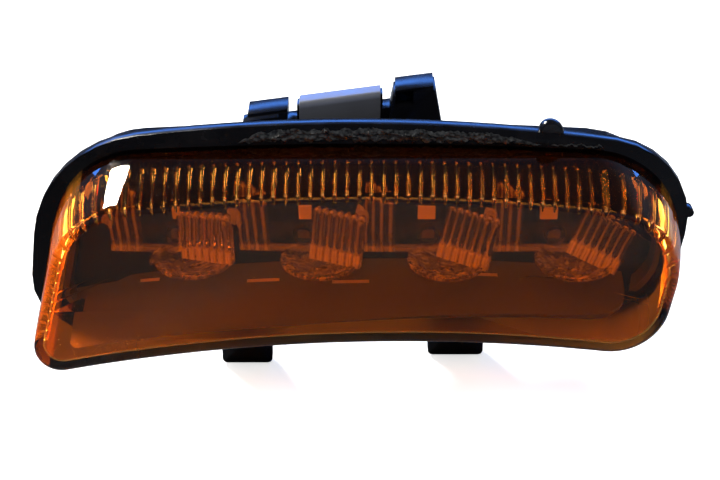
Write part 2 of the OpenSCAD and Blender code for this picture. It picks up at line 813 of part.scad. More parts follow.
module optic(i) {
    color(clear_acrylic, 0.7)
        translate([optic_x(i), 0, 0]) {
            bowl();
            fluted_block(i);
            wing();
            lug(i);
            back_plate();
            // The bar along the wing's foot and the bowl's rim
            translate([wing_x - wing_span / 2, wing_y, bowl_rim])
                cube([rim_r + bowl_x - 2 - wing_x + wing_span / 2, bezel_face - wing_y, rim_t]);
            for (x = peg_places)
                stub(x, peg_r, bezel_back + 0.6);
            stub(inlet_x, inlet_r, bezel_back + 0.2);
        }
}

module optic_1() { optic(0); }
module optic_2() { optic(1); }
module optic_3() { optic(2); }
module optic_4() { optic(3); }

// Electronics

// A part on the board: its own +Z points away from the board's front or back face.
module on_front(x, z) {
    translate([x, board_front, z])
        rotate([90, 0, 0])
            children();
}

module on_back(x, z) {
    translate([x, board_back, z])
        rotate([-90, 0, 0])
            children();
}

board_span = board_w * stretch;
module circuit_board() {
    color("#1f6b3a")
        difference() {
            translate([-board_span / 2, board_front, board_z - board_h / 2])
                cube([board_span, board_t, board_h]);
            for (x = screw_places)
                translate([x, board_front - 1, screw_z])
                    rotate([-90, 0, 0])
                        cylinder(h = board_t + 2, r = screw_shank_r + 0.2);
        }
}

module led(i) {
    on_front(optic_x(i) + inlet_x, inlet_z) {
        color("#f2f0e6")
            translate([-led_side / 2, -led_side / 2, 0])
                cube([led_side, led_side, led_h * 0.7]);
        color("#e8b23a")
            translate([0, 0, led_h * 0.7 - eps])
                cylinder(h = led_h * 0.3 + eps, r = led_side * 0.42);
    }
}

module led_1() { led(0); }
module led_2() { led(1); }
module led_3() { led(2); }
module led_4() { led(3); }

resistor_z = -6;
module resistors() {
    color("#26262a")
        for (i = [0 : 3])
            on_front(optic_x(i) + bowl_x, resistor_z)
                cube([3.2, 1.6, 0.6]);
}

chip_w = 4.9;
chip_d = 3.9;
chip_h = 1.4;
module driver_chip() {
    color("#101012")
        on_back(14, 6) {
            translate([0, 0, 0.1])
                cube([chip_w, chip_d, chip_h]);
            for (i = [0 : 3])
                translate([0.35 + i * 1.27, -1, 0])
                    cube([0.4, chip_d + 2, 0.6]);
        }
}

module diode() {
    color("#202022")
        on_back(-16, 4)
            cube([4.4, 2.6, 2]);
}

module capacitor() {
    color("#b9bcc2")
        on_back(-22, 6) {
            cylinder(h = 5.4, r = 3.1);
            translate([-3.3, -3.3, 0])
                cube([6.6, 6.6, 0.6]);
        }
}

// Three flat pins run from the board, through the box's back wall, into the socket.
module terminal_pins() {
    color("#c9a24a")
        for (x = pin_places)
            translate([x - pin_w / 2, board_back, socket_z - pin_h / 2])
                cube([pin_w, socket_floor + pin_reach - board_back, pin_h]);
}

screw_head_h = 1.2;
screw_head_r = 2;
cross_l = 2.8;
cross_w = 0.6;
cross_depth = 0.5;
screw_grip = 1.6;
module board_screws() {
    color("#8f9298")
        for (x = screw_places)
            on_front(x, screw_z) {
                difference() {
                    cylinder(h = screw_head_h, r = screw_head_r);
                    for (a = [0, 90])
                        rotate([0, 0, a])
                            translate([-cross_l / 2, -cross_w / 2, screw_head_h - cross_depth])
                                cube([cross_l, cross_w, 2 * cross_depth]);
                }
                translate([0, 0, -board_t - screw_grip])
                    cylinder(h = board_t + screw_grip + eps, r = screw_shank_r);
            }
}

// Fixings outside

// A bent strip that stands on the box and grips the rail, cut square at both ends.
module spring_clip() {
    color("#8c93a3")
        intersection() {
            translate([clip_x, clip_front, box_top])
                rotate([0, 0, clip_yaw])
                    along_x(-clip_w, clip_w)
                        difference() {
                            clip_section(0);
                            clip_section(clip_sheet);
                        }
            translate([clip_x - clip_w / 2, 0, box_top])
                cube([clip_w, 60, 60]);
        }
}

// A soft domed stop on the flange's upper edge, flush with the flange's front and back.
buffer_x = 42.4 * stretch;
buffer_r = 2.85;
buffer_foot = 1;
module top_buffer() {
    edge = upper_edge(flange_shape, buffer_x);
    color("#0c0c0e")
        difference() {
            intersection() {
                translate([buffer_x, flange_face / 2, edge - buffer_foot])
                    union() {
                        cylinder(h = buffer_foot, r = buffer_r);
                        translate([0, 0, buffer_foot])
                            sphere(r = buffer_r);
                    }
                translate([buffer_x - buffer_r, flange_face, edge - buffer_foot])
                    cube([2 * buffer_r, -flange_face, 2 * buffer_r]);
            }
            plate(flange_shape, flange_face - 1, 1);
        }
}

// What is left of a torn foam seal on the flange's front, in two runs of ragged height.
function ragged(x, seed) = 0.5 + 0.28 * sin(x * 97 + seed) + 0.22 * sin(x * 211 + 3 * seed);
module foam_run(from, to, above, high, thick, seed) {
    count = round((to - from) / 1.4);
    xs = [for (i = [0 : count]) mix(from, to, i / count)];
    sections = [for (i = [0 : count])
        let (x = xs[i], z = upper_edge(flange_shape, x), fade = min(1, 0.35 + 3 * min(i, count - i) / count),
            bottom = upper_edge(base_shape, x) + above + 0.8 * ragged(x, seed) * fade,
            top = z - high - 1.1 * ragged(x, seed + 40) * fade,
            out = flange_face - thick * fade * (0.35 + ragged(x, seed + 90)))
        [[x, flange_face, bottom], [x, out + 0.15, bottom + 0.3],
            [x, out - 0.2 * ragged(x, seed + 10), (top + bottom) / 2],
            [x, out + 0.15, top - 0.3], [x, flange_face, top]]];
    points = [for (s = sections) for (p = s) p];
    faces = concat(
        [[0, 1, 2, 3, 4], [for (k = [4 : -1 : 0]) 5 * count + k]],
        [for (i = [0 : count - 1]) for (k = [0 : 4]) for (f = [
            [5 * i + k, 5 * i + 5 + k, 5 * i + (k + 1) % 5],
            [5 * i + (k + 1) % 5, 5 * i + 5 + k, 5 * i + 5 + (k + 1) % 5]]) f]);
    polyhedron(points, faces);
}

// Each run's two ends, its distance above the lens and below the flange's edge, its thickness and its seed.
foam_runs = [[-27, 40, 0.2, 0.8, 0.9, 12], [43, 54, 0.2, 1.5, 0.5, 75]];
module gasket_remnant() {
    color("#1a1a1a")
        for (run = foam_runs)
            foam_run(run[0] * stretch, run[1] * stretch, run[2], run[3], run[4], run[5]);
}

module vent_patch() {
    color("#3a3d42")
        translate([vent_x, box_back(vent_x), vent_z])
            rotate([-90, 0, box_yaw])
                translate([0, 0, -vent_recess])
                    cylinder(h = vent_recess - 0.2, r = vent_r - 0.2);
}

housing();
lens();
inner_bezel();
optic_1();
optic_2();
optic_3();
optic_4();
circuit_board();
led_1();
led_2();
led_3();
led_4();
resistors();
driver_chip();
diode();
capacitor();
terminal_pins();
board_screws();
spring_clip();
top_buffer();
gasket_remnant();
vent_patch();
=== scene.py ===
"""Looks for the side repeater lamp: the amber lens, the moulded housing, the clear optics and a small studio.

Lengths in the classes are in millimetres and are scaled to metres when a mesh is made.
"""

import logging
import math
from dataclasses import dataclass, field
from enum import Enum
from typing import Any, Iterable, Optional, Sequence

import bmesh
import bpy
import numpy as np
from mathutils import Matrix, Vector


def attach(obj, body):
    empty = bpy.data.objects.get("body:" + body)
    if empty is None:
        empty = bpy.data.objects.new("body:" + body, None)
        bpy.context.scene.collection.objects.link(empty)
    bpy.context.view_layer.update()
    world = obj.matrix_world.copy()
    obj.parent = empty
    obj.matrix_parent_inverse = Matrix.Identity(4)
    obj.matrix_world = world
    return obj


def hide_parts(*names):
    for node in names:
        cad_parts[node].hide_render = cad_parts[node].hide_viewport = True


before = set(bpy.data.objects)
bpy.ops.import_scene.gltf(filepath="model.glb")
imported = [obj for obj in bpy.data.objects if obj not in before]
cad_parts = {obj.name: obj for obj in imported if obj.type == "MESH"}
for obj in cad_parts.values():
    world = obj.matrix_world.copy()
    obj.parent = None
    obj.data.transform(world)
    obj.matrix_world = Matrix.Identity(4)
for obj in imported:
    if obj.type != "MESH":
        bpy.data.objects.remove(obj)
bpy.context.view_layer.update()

LOG = logging.getLogger("side_repeater")
MM = 0.001
# Painted glints: the name of a point attribute on the optics that makes parts of the clear acrylic pale and less
# clear, to stand in for light caught in them.
PAINTED_GLINTS = "glint_paint"
JOIN_M = 2e-6
FLAT_DEGREES = 0.4
Colour = tuple[float, float, float]
Array = np.ndarray


class Slot(Enum):
    """Names of the lamp's material slots; nothing in the script uses them."""

    HOUSING = "housing"
    LENS = "lens"
    BEZEL = "inner_bezel"
    OPTIC = "optic"
    RUBBER = "rubber"
    FOAM = "foam"
    SPRING_STEEL = "spring_steel"


class Stretch(Enum):
    """The ten stretches of a lamp outline, from the middle of the right end round by the top."""

    RIGHT_UPPER = 0
    TOP_RIGHT_CORNER = 1
    TOP_EDGE = 2
    TOP_LEFT_CORNER = 3
    LEFT_UPPER = 4
    LEFT_LOWER = 5
    BOTTOM_LEFT_CORNER = 6
    BOTTOM_EDGE = 7
    BOTTOM_RIGHT_CORNER = 8
    RIGHT_LOWER = 9


# Materials


class Graph:
    """A material's node tree, with short ways to add and join nodes."""

    COLOUR_INPUTS = (6, 7)

    def __init__(self, name: str) -> None:
        """Makes an empty material.

        Args:
            name: the material's name.
        """
        self.material = bpy.data.materials.new(name)
        self.material.use_nodes = True
        self.tree = self.material.node_tree
        self.tree.nodes.clear()
        self.output = self.tree.nodes.new("ShaderNodeOutputMaterial")
        self.object_coordinates: Optional[Any] = None

    def add(self, kind: str, **values: Any) -> Any:
        """Adds a node.

        Args:
            kind: the node's type name without its prefix.
            values: attributes of the node, or inputs by name with spaces as underscores.

        Returns:
            The new node.
        """
        node = self.tree.nodes.new("ShaderNode" + kind)
        for key, value in values.items():
            if hasattr(node, key):
                setattr(node, key, value)
            else:
                node.inputs[key.replace("_", " ")].default_value = value
        return node

    def join(self, source: Any, target: Any) -> None:
        """Links one socket to another."""
        self.tree.links.new(source, target)

    def feed(self, target: Any, value: Any) -> None:
        """Gives an input a socket to follow, or a number or a colour of its own.

        Args:
            target: the input.
            value: an output socket, a number, or a colour's three shares.
        """
        if isinstance(value, bpy.types.NodeSocket):
            self.join(value, target)
        elif isinstance(value, tuple):
            target.default_value = (*value, 1.0)
        else:
            target.default_value = value

    def math(self, operation: str, *values: Any) -> Any:
        """Adds a sum on one to three values.

        Args:
            operation: the Math node's operation.
            values: a socket or a number for each input.

        Returns:
            The socket of the result.
        """
        node = self.add("Math", operation=operation)
        for number, value in enumerate(values):
            self.feed(node.inputs[number], value)
        return node.outputs["Value"]

    def along(self, way: Sequence[float]) -> Any:
        """Measures how far each point lies along a way.

        The value is the dot product of the point and the way.

        Args:
            way: the way's three shares.

        Returns:
            The value socket, in metres where the way has length one.
        """
        node = self.add("VectorMath", operation="DOT_PRODUCT")
        self.join(self.place(), node.inputs[0])
        node.inputs[1].default_value = tuple(way)
        return node.outputs["Value"]

    def place(self, scale: Sequence[float] = (1.0, 1.0, 1.0)) -> Any:
        """Gives the Object coordinates, stretched along the axes.

        Args:
            scale: one factor for each axis.

        Returns:
            A vector socket.
        """
        if self.object_coordinates is None:
            self.object_coordinates = self.add("TexCoord").outputs["Object"]
        mapping = self.add("Mapping", Scale=tuple(scale))
        self.join(self.object_coordinates, mapping.inputs["Vector"])
        return mapping.outputs["Vector"]

    def axis(self, name: str) -> Any:
        """Gives one of the Object coordinates.

        Args:
            name: X, Y or Z.

        Returns:
            The value socket.
        """
        parts = self.add("SeparateXYZ")
        self.join(self.place(), parts.inputs["Vector"])
        return parts.outputs[name]

    def noise(self, scale: float, detail: float = 3.0, rough: float = 0.55,
              stretch: Sequence[float] = (1.0, 1.0, 1.0)) -> Any:
        """Adds fractal noise on Object coordinates.

        Args:
            scale: features to the metre.
            detail: octaves.
            rough: how strong the finer octaves are.
            stretch: a factor for each axis.

        Returns:
            The noise's value socket.
        """
        node = self.add("TexNoise", Scale=scale, Detail=detail, Roughness=rough)
        self.join(self.place(stretch), node.inputs["Vector"])
        return node.outputs["Fac"]

    def spread(self, value: Any, low: float, high: float, to_low: float, to_high: float) -> Any:
        """Maps a value from one range to another, clamped.

        Args:
            value: the socket to map.
            low: where the first range starts.
            high: where it ends.
            to_low: where the second range starts.
            to_high: where it ends.

        Returns:
            The mapped socket.
        """
        node = self.add("MapRange", From_Min=low, From_Max=high, To_Min=to_low, To_Max=to_high)
        self.join(value, node.inputs["Value"])
        return node.outputs["Result"]

    def blend(self, share: Any, first: Any, second: Any) -> Any:
        """Blends two colours by a share.

        Args:
            share: a socket from 0 to 1.
            first: the colour at 0, or its socket.
            second: the colour at 1, or its socket.

        Returns:
            The colour socket.
        """
        node = self.add("Mix", data_type="RGBA")
        self.join(share, node.inputs["Factor"])
        for number, value in zip(self.COLOUR_INPUTS, (first, second)):
            self.feed(node.inputs[number], value)
        return next(socket for socket in node.outputs if socket.type == "RGBA")

    def bump(self, height: Any, distance: float, strength: float = 1.0, base: Any = None) -> Any:
        """Turns a height into a normal.

        Args:
            height: the height socket.
            distance: its full height in metres.
            strength: how much of it shows.
            base: a normal socket to start from.

        Returns:
            The normal socket.
        """
        node = self.add("Bump", Strength=strength, Distance=distance)
        self.join(height, node.inputs["Height"])
        if base is not None:
            self.join(base, node.inputs["Normal"])
        return node.outputs["Normal"]

    def shader(self, **values: Any) -> Any:
        """Adds the principled shader and joins it to the output.

        Args:
            values: the inputs that have one value all over, by name with spaces as underscores.

        Returns:
            The shader node.
        """
        node = self.add("BsdfPrincipled", **values)
        self.join(node.outputs["BSDF"], self.output.inputs["Surface"])
        return node

    def let_lamps_through(self, surface: Any, tint: Colour) -> None:
        """Lets the lamps' rays through a clear shader, tinted, so that what lies behind it is lit.

        Args:
            surface: the shader node that everything else sees.
            tint: what one crossing of the surface lets through.
        """
        path = self.add("LightPath")
        clear = self.add("BsdfTransparent", Color=(*tint, 1.0))
        mix = self.add("MixShader")
        self.join(path.outputs["Is Shadow Ray"], mix.inputs["Fac"])
        self.join(surface.outputs["BSDF"], mix.inputs[1])
        self.join(clear.outputs["BSDF"], mix.inputs[2])
        self.join(mix.outputs["Shader"], self.output.inputs["Surface"])


@dataclass(frozen=True)
class MouldedPlastic:
    """A moulded black plastic: glossy, with a faint texture, hairline scratches and dust in patches."""

    name: str = "moulded_black"
    colour: Colour = (0.005, 0.005, 0.0065)
    dust: Colour = (0.014, 0.014, 0.016)
    gloss: float = 0.13
    dull: float = 0.3
    specular: float = 0.25
    texture_mm: float = 0.012
    ripple_mm: float = 0.05
    scratch_mm: float = 0.01

    def build(self) -> bpy.types.Material:
        """Makes the material.

        Returns:
            The material.
        """
        g = Graph(self.name)
        skin = g.shader(Specular_IOR_Level=self.specular)
        patches = g.noise(95.0, 5.0, 0.62)
        share = g.spread(patches, 0.5, 0.78, 0.0, 1.0)
        g.join(g.blend(share, self.colour, self.dust), skin.inputs["Base Color"])
        g.join(g.spread(patches, 0.3, 0.75, self.gloss, self.dull), skin.inputs["Roughness"])
        grain = g.noise(2600.0, 2.0)
        ripple = g.noise(160.0, 2.0)
        scratch = g.noise(900.0, 1.0, 0.4, (0.05, 1.0, 1.6))
        first = g.bump(grain, self.texture_mm * MM, 0.5)
        second = g.bump(ripple, self.ripple_mm * MM, 0.5, first)
        lines = g.spread(scratch, 0.66, 0.72, 0.0, 1.0)
        g.join(g.bump(lines, self.scratch_mm * MM, 0.4, second), skin.inputs["Normal"])
        return g.material


@dataclass(frozen=True)
class GrainedEnd:
    """The grained inside of one end of the lens, between two planes that lean as the end does."""

    lean: tuple[float, float, float]
    low_mm: float
    high_mm: float
    grain: float


@dataclass(frozen=True)
class AmberAcrylic:
    """The lens's amber acrylic: clear and glossy, with a trace of moulding flow and dust.

    The inside of the lower wall is misty, except towards the left end.
    """

    name: str = "amber_acrylic"
    colour: Colour = (0.95, 0.41, 0.055)
    refraction: float = 1.49
    roughness: float = 0.02
    dusty: float = 0.25
    mist: float = 0.45
    mist_height_mm: tuple[float, float] = (-14.0, -15.5)
    mist_depth_mm: tuple[float, float] = (-22.6, -21.0)
    mist_length_mm: tuple[float, float] = (-66.0, -35.0)
    mist_left: float = 0.1
    flow_mm: float = 0.06
    inside_mm: tuple[float, float] = (-21.8, -20.6)
    soft_mm: float = 0.2
    ends: tuple[GrainedEnd, ...] = (
        GrainedEnd((1.0, 0.1, -0.24), -69.6, -66.8, 0.15), GrainedEnd((1.0, -0.175, 0.116), 70.0, 72.3, 0.12))

    def build(self) -> bpy.types.Material:
        """Makes the material.

        Returns:
            The material.
        """
        g = Graph(self.name)
        skin = g.shader(IOR=self.refraction)
        g.join(self.clearness(g), skin.inputs["Transmission Weight"])
        flow = g.noise(60.0, 2.0, 0.5, (0.5, 1.0, 1.0))
        red, green, blue = self.colour
        g.join(g.blend(flow, self.colour, (red, green * 0.93, blue * 0.8)), skin.inputs["Base Color"])
        dust = g.spread(g.noise(3200.0, 1.0, 0.3), 0.72, 0.8, self.roughness, self.dusty)
        mist = g.math("MULTIPLY", self.between(g, "Z", self.mist_height_mm, 0.0, 1.0),
                      self.between(g, "Y", self.mist_depth_mm, 0.0, self.mist))
        share = self.between(g, "X", self.mist_length_mm, self.mist_left, 1.0)
        g.join(g.math("MULTIPLY_ADD", mist, share, dust), skin.inputs["Roughness"])
        g.join(g.bump(flow, self.flow_mm * MM, 0.35), skin.inputs["Normal"])
        g.let_lamps_through(skin, (math.sqrt(red), math.sqrt(green), math.sqrt(blue)))
        return g.material

    def between(self, g: Graph, axis: str, places: tuple[float, float], low: float, high: float) -> Any:
        """Changes a value from one place on an axis to another.

        Args:
            g: the material's graph.
            axis: X, Y or Z.
            places: where the change starts and ends, in millimetres.
            low: the value where it starts.
            high: the value where it ends.

        Returns:
            The value socket.
        """
        return g.spread(g.axis(axis), places[0] * MM, places[1] * MM, low, high)

    def clearness(self, g: Graph) -> Any:
        """Lowers the clearness on the inside of the two ends, whose moulded grain catches the light.

        The inside of an end lies between two slanting planes: the place along the lamp, less shares
        of the depth and the height, as the end leans.

        Args:
            g: the material's graph.

        Returns:
            The socket of the transmission's weight.
        """
        shares = []
        for end in self.ends:
            slant = g.along(end.lean)
            low, high = end.low_mm, end.high_mm
            above = g.spread(slant, (low - self.soft_mm) * MM, (low + self.soft_mm) * MM, 0.0, end.grain)
            below = g.spread(slant, (high - self.soft_mm) * MM, (high + self.soft_mm) * MM, 1.0, 0.0)
            shares.append(g.math("MULTIPLY", above, below))
        behind = self.between(g, "Y", self.inside_mm, 0.0, 1.0)
        return g.spread(g.math("MULTIPLY", g.math("ADD", *shares), behind), 0.0, 1.0, 1.0, 0.0)


@dataclass(frozen=True)
class ClearAcrylic:
    """The optics' clear acrylic, with soft moulding ripples; a point attribute of the mesh paints glints and glow
    on it, making those parts pale and less clear.
    """

    name: str = "clear_acrylic"
    colour: Colour = (0.93, 0.88, 0.78)
    lamp_tint: Colour = (0.95, 0.93, 0.9)
    refraction: float = 1.49
    roughness: float = 0.02
    ripple_mm: float = 0.12

    def build(self) -> bpy.types.Material:
        """Makes the material.

        Returns:
            The material.
        """
        g = Graph(self.name)
        skin = g.shader(IOR=self.refraction)
        # Painted glints and glow: where the attribute is high the acrylic lets less through and shows its pale
        # colour.
        glint_paint = g.add("Attribute", attribute_name=PAINTED_GLINTS)
        g.join(g.spread(glint_paint.outputs["Fac"], 0.0, 1.0, 1.0, 0.0), skin.inputs["Transmission Weight"])
        ripple = g.noise(420.0, 3.0, 0.6)
        red, green, blue = self.colour
        g.join(g.blend(ripple, self.colour, (red * 0.9, green * 0.88, blue * 0.84)), skin.inputs["Base Color"])
        g.join(g.spread(ripple, 0.3, 0.8, self.roughness, self.roughness + 0.1), skin.inputs["Roughness"])
        g.join(g.bump(ripple, self.ripple_mm * MM, 0.5), skin.inputs["Normal"])
        g.let_lamps_through(skin, self.lamp_tint)
        return g.material


@dataclass(frozen=True)
class Metal:
    """A plain metal, drawn or rolled along one axis."""

    name: str
    colour: Colour
    roughness: float = 0.32
    grain: tuple[float, float, float] = (1.0, 1.0, 8.0)
    grain_scale: float = 700.0
    depth_mm: float = 0.01
    bare: float = 1.0

    def build(self) -> bpy.types.Material:
        """Makes the material.

        Returns:
            The material.
        """
        g = Graph(self.name)
        skin = g.shader(Metallic=self.bare)
        lines = g.noise(self.grain_scale, 4.0, 0.65, self.grain)
        stain = g.noise(120.0, 4.0)
        red, green, blue = self.colour
        g.join(g.blend(stain, self.colour, (red * 0.72, green * 0.72, blue * 0.74)), skin.inputs["Base Color"])
        g.join(g.spread(stain, 0.3, 0.75, self.roughness, self.roughness + 0.2), skin.inputs["Roughness"])
        g.join(g.bump(lines, self.depth_mm * MM, 0.6), skin.inputs["Normal"])
        return g.material


@dataclass(frozen=True)
class DullStuff:
    """A matt stuff such as foam, rubber, a board's mask or a breather membrane."""

    name: str
    colour: Colour
    second: Colour
    roughness: float = 0.7
    scale: float = 900.0
    depth_mm: float = 0.03
    specular: float = 0.5

    def build(self) -> bpy.types.Material:
        """Makes the material.

        Returns:
            The material.
        """
        g = Graph(self.name)
        skin = g.shader(Specular_IOR_Level=self.specular)
        coarse = g.noise(self.scale, 4.0, 0.65)
        share = g.spread(coarse, 0.35, 0.7, 0.0, 1.0)
        g.join(g.blend(share, self.colour, self.second), skin.inputs["Base Color"])
        dullest = min(1.0, self.roughness + 0.12)
        g.join(g.spread(coarse, 0.3, 0.7, self.roughness, dullest), skin.inputs["Roughness"])
        g.join(g.bump(coarse, self.depth_mm * MM, 0.8), skin.inputs["Normal"])
        return g.material


# Meshes


def make_piece(name: str, points: Array, faces: Iterable[Sequence[int]], material: bpy.types.Material,
               crease: float = 35.0) -> bpy.types.Object:
    """Makes a mesh object at the origin from points in millimetres.

    Args:
        name: the piece's name.
        points: an array of points, one row each.
        faces: corner numbers of each face, outward by the right-hand rule.
        material: its material.
        crease: edges sharper than this many degrees stay sharp.

    Returns:
        The linked object.
    """
    mesh = bpy.data.meshes.new(name)
    mesh.from_pydata((np.asarray(points, float) * MM).tolist(), [], [list(map(int, f)) for f in faces])
    mesh.validate()
    mesh.update()
    return finish_mesh(name, mesh, material, crease)


def finish_mesh(name: str, mesh: bpy.types.Mesh, material: bpy.types.Material,
                crease: float) -> bpy.types.Object:
    """Gives a mesh its material, smooth faces and sharp creases, and links an object for it.

    Args:
        name: the piece's name.
        mesh: the mesh, in metres.
        material: its material.
        crease: edges sharper than this many degrees stay sharp.

    Returns:
        The linked object.
    """
    mesh.materials.clear()
    mesh.materials.append(material)
    mesh.polygons.foreach_set("use_smooth", np.ones(len(mesh.polygons), dtype=bool))
    mesh.set_sharp_from_angle(angle=math.radians(crease))
    mesh.update()
    piece = bpy.data.objects.new(name, mesh)
    bpy.context.scene.collection.objects.link(piece)
    return piece


def grid_faces(rows: int, columns: int, closed: bool, flip: bool = False, first: int = 0) -> Array:
    """Numbers the quads of a grid of points.

    Each quad joins a point to the next in its row and to the two in the next row.

    Args:
        rows: rows of points.
        columns: points in a row.
        closed: whether each row is a ring.
        flip: turns the faces round.
        first: the number of the grid's first point.

    Returns:
        An array of quads.
    """
    r = np.arange(rows - 1)[:, None]
    c = np.arange(columns if closed else columns - 1)[None, :]
    n = (c + 1) % columns
    quads = np.stack([r * columns + c, r * columns + n, (r + 1) * columns + n, (r + 1) * columns + c], axis=-1)
    quads = quads.reshape(-1, 4) + first
    return quads[:, ::-1] if flip else quads


def unit_grid(rows: int, columns: int) -> tuple[Array, Array]:
    """Gives the two parameters of a grid of points, each evenly from 0 to 1.

    Args:
        rows: rows of points.
        columns: points in a row.

    Returns:
        The parameter along the rows, and the one across them.
    """
    u = np.linspace(0, 1, columns)[None, :].repeat(rows, 0)
    v = np.linspace(0, 1, rows)[:, None].repeat(columns, 1)
    return u, v


def slab_faces(rows: int, columns: int, first: int = 0) -> list[list[int]]:
    """Numbers the faces of a closed slab between two grids of points that follow each other.

    The first grid faces out, the second is turned round, and a strip of quads joins their borders.

    Args:
        rows: rows of points in each grid.
        columns: points in a row.
        first: the number of the first grid's first point.

    Returns:
        The faces.
    """
    total = rows * columns
    border = first + np.concatenate([
        np.arange(columns - 1), np.arange(rows - 1) * columns + columns - 1,
        (rows - 1) * columns + np.arange(columns - 1, 0, -1), np.arange(rows - 1, 0, -1) * columns])
    after = np.roll(border, -1)
    faces = grid_faces(rows, columns, False, first=first).tolist()
    faces += grid_faces(rows, columns, False, flip=True, first=first + total).tolist()
    return faces + np.stack([border, border + total, after + total, after], axis=-1).tolist()


def round_ridge(part: Array, half: float) -> Array:
    """A half circle of height 1 over the width from -half to half, and 0 outside it."""
    return np.sqrt(np.clip(1 - (part / half) ** 2, 0, 1))


def smooth_step(low: float, high: float, value: Array) -> Array:
    """Rises from 0 at low to 1 at high along a cubic that is level at both ends."""
    t = np.clip((np.asarray(value, float) - low) / (high - low), 0.0, 1.0)
    return t * t * (3 - 2 * t)


def joined_copy(node: str) -> bpy.types.Mesh:
    """Copies a CAD node's mesh and joins its loose triangles.

    Args:
        node: the CAD node.

    Returns:
        The new mesh.
    """
    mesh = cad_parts[node].data.copy()
    body = bmesh.new()
    body.from_mesh(mesh)
    bmesh.ops.remove_doubles(body, verts=body.verts, dist=JOIN_M)
    bmesh.ops.dissolve_limit(body, angle_limit=math.radians(FLAT_DEGREES), verts=body.verts, edges=body.edges)
    body.to_mesh(mesh)
    body.free()
    return mesh


def rounded_copy(node: str, name: str, material: bpy.types.Material, width: float, segments: int = 2,
                 angle: float = 32.0) -> bpy.types.Object:
    """Copies a CAD node's mesh and rounds its sharp edges.

    Args:
        node: the CAD node.
        name: the new piece's name.
        material: its material.
        width: the rounding's width in millimetres.
        segments: faces across the rounding.
        angle: edges sharper than this many degrees are rounded.

    Returns:
        The linked object, at the origin with its place in its mesh.
    """
    rough = bpy.data.objects.new(name + "_rough", joined_copy(node))
    bpy.context.scene.collection.objects.link(rough)
    bevel = rough.modifiers.new("edges", "BEVEL")
    bevel.width = width * MM
    bevel.segments = segments
    bevel.limit_method = "ANGLE"
    bevel.angle_limit = math.radians(angle)
    bevel.use_clamp_overlap = True
    bpy.context.view_layer.update()
    depsgraph = bpy.context.evaluated_depsgraph_get()
    done = bpy.data.meshes.new_from_object(rough.evaluated_get(depsgraph))
    bpy.data.objects.remove(rough)
    done.name = name
    return finish_mesh(name, done, material, crease=38.0)


def dress(node: str, material: bpy.types.Material) -> None:
    """Assigns a material to each slot of a CAD node's object.

    Args:
        node: the CAD node.
        material: its finish.
    """
    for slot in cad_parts[node].material_slots:
        slot.material = material
    LOG.info("dressed %s with %s", node, material.name)


def hash_noise(x: Array, y: Array, seed: int) -> Array:
    """Smooth random values over a plane.

    Random numbers on the whole grid points are blended with a smooth step between them.

    Args:
        x: places along the first axis, in grid cells.
        y: places along the second axis.
        seed: picks the pattern.

    Returns:
        Values from 0 to 1.
    """
    def corner(i: Array, j: Array) -> Array:
        """One random number for each grid point, the fraction of a large sine."""
        value = np.sin(i * 127.1 + j * 311.7 + seed * 74.7) * 43758.5453
        return value - np.floor(value)

    i, j = np.floor(x), np.floor(y)
    u, v = x - i, y - j
    u, v = u * u * (3 - 2 * u), v * v * (3 - 2 * v)
    low = corner(i, j) * (1 - u) + corner(i + 1, j) * u
    high = corner(i, j + 1) * (1 - u) + corner(i + 1, j + 1) * u
    return low * (1 - v) + high * v


# The lamp's outlines


@dataclass(frozen=True)
class LongEdge:
    """An upper or lower edge: a long arc by its crown's height, its radius and its crown's place."""

    height: float
    radius: float
    crown: float

    def centre(self) -> Array:
        """The arc's centre."""
        return np.array([self.crown, self.height - self.radius])

    def height_at(self, x: Array) -> Array:
        """The edge's height at places along the lamp."""
        return self.height - self.radius + np.sqrt(self.radius ** 2 - (np.asarray(x) - self.crown) ** 2)


@dataclass(frozen=True)
class LampEnd:
    """A left or right end: a straight line by its place at the height of the origin and its lean in degrees."""

    place: float
    lean: float


def direction(angle: Any) -> Array:
    """Unit vectors at angles in degrees, from +X towards +Z."""
    a = np.radians(angle)
    return np.stack([np.cos(a), np.sin(a)], axis=-1)


def heading(v: Array) -> float:
    """The angle of a vector in degrees."""
    return math.degrees(math.atan2(v[1], v[0]))


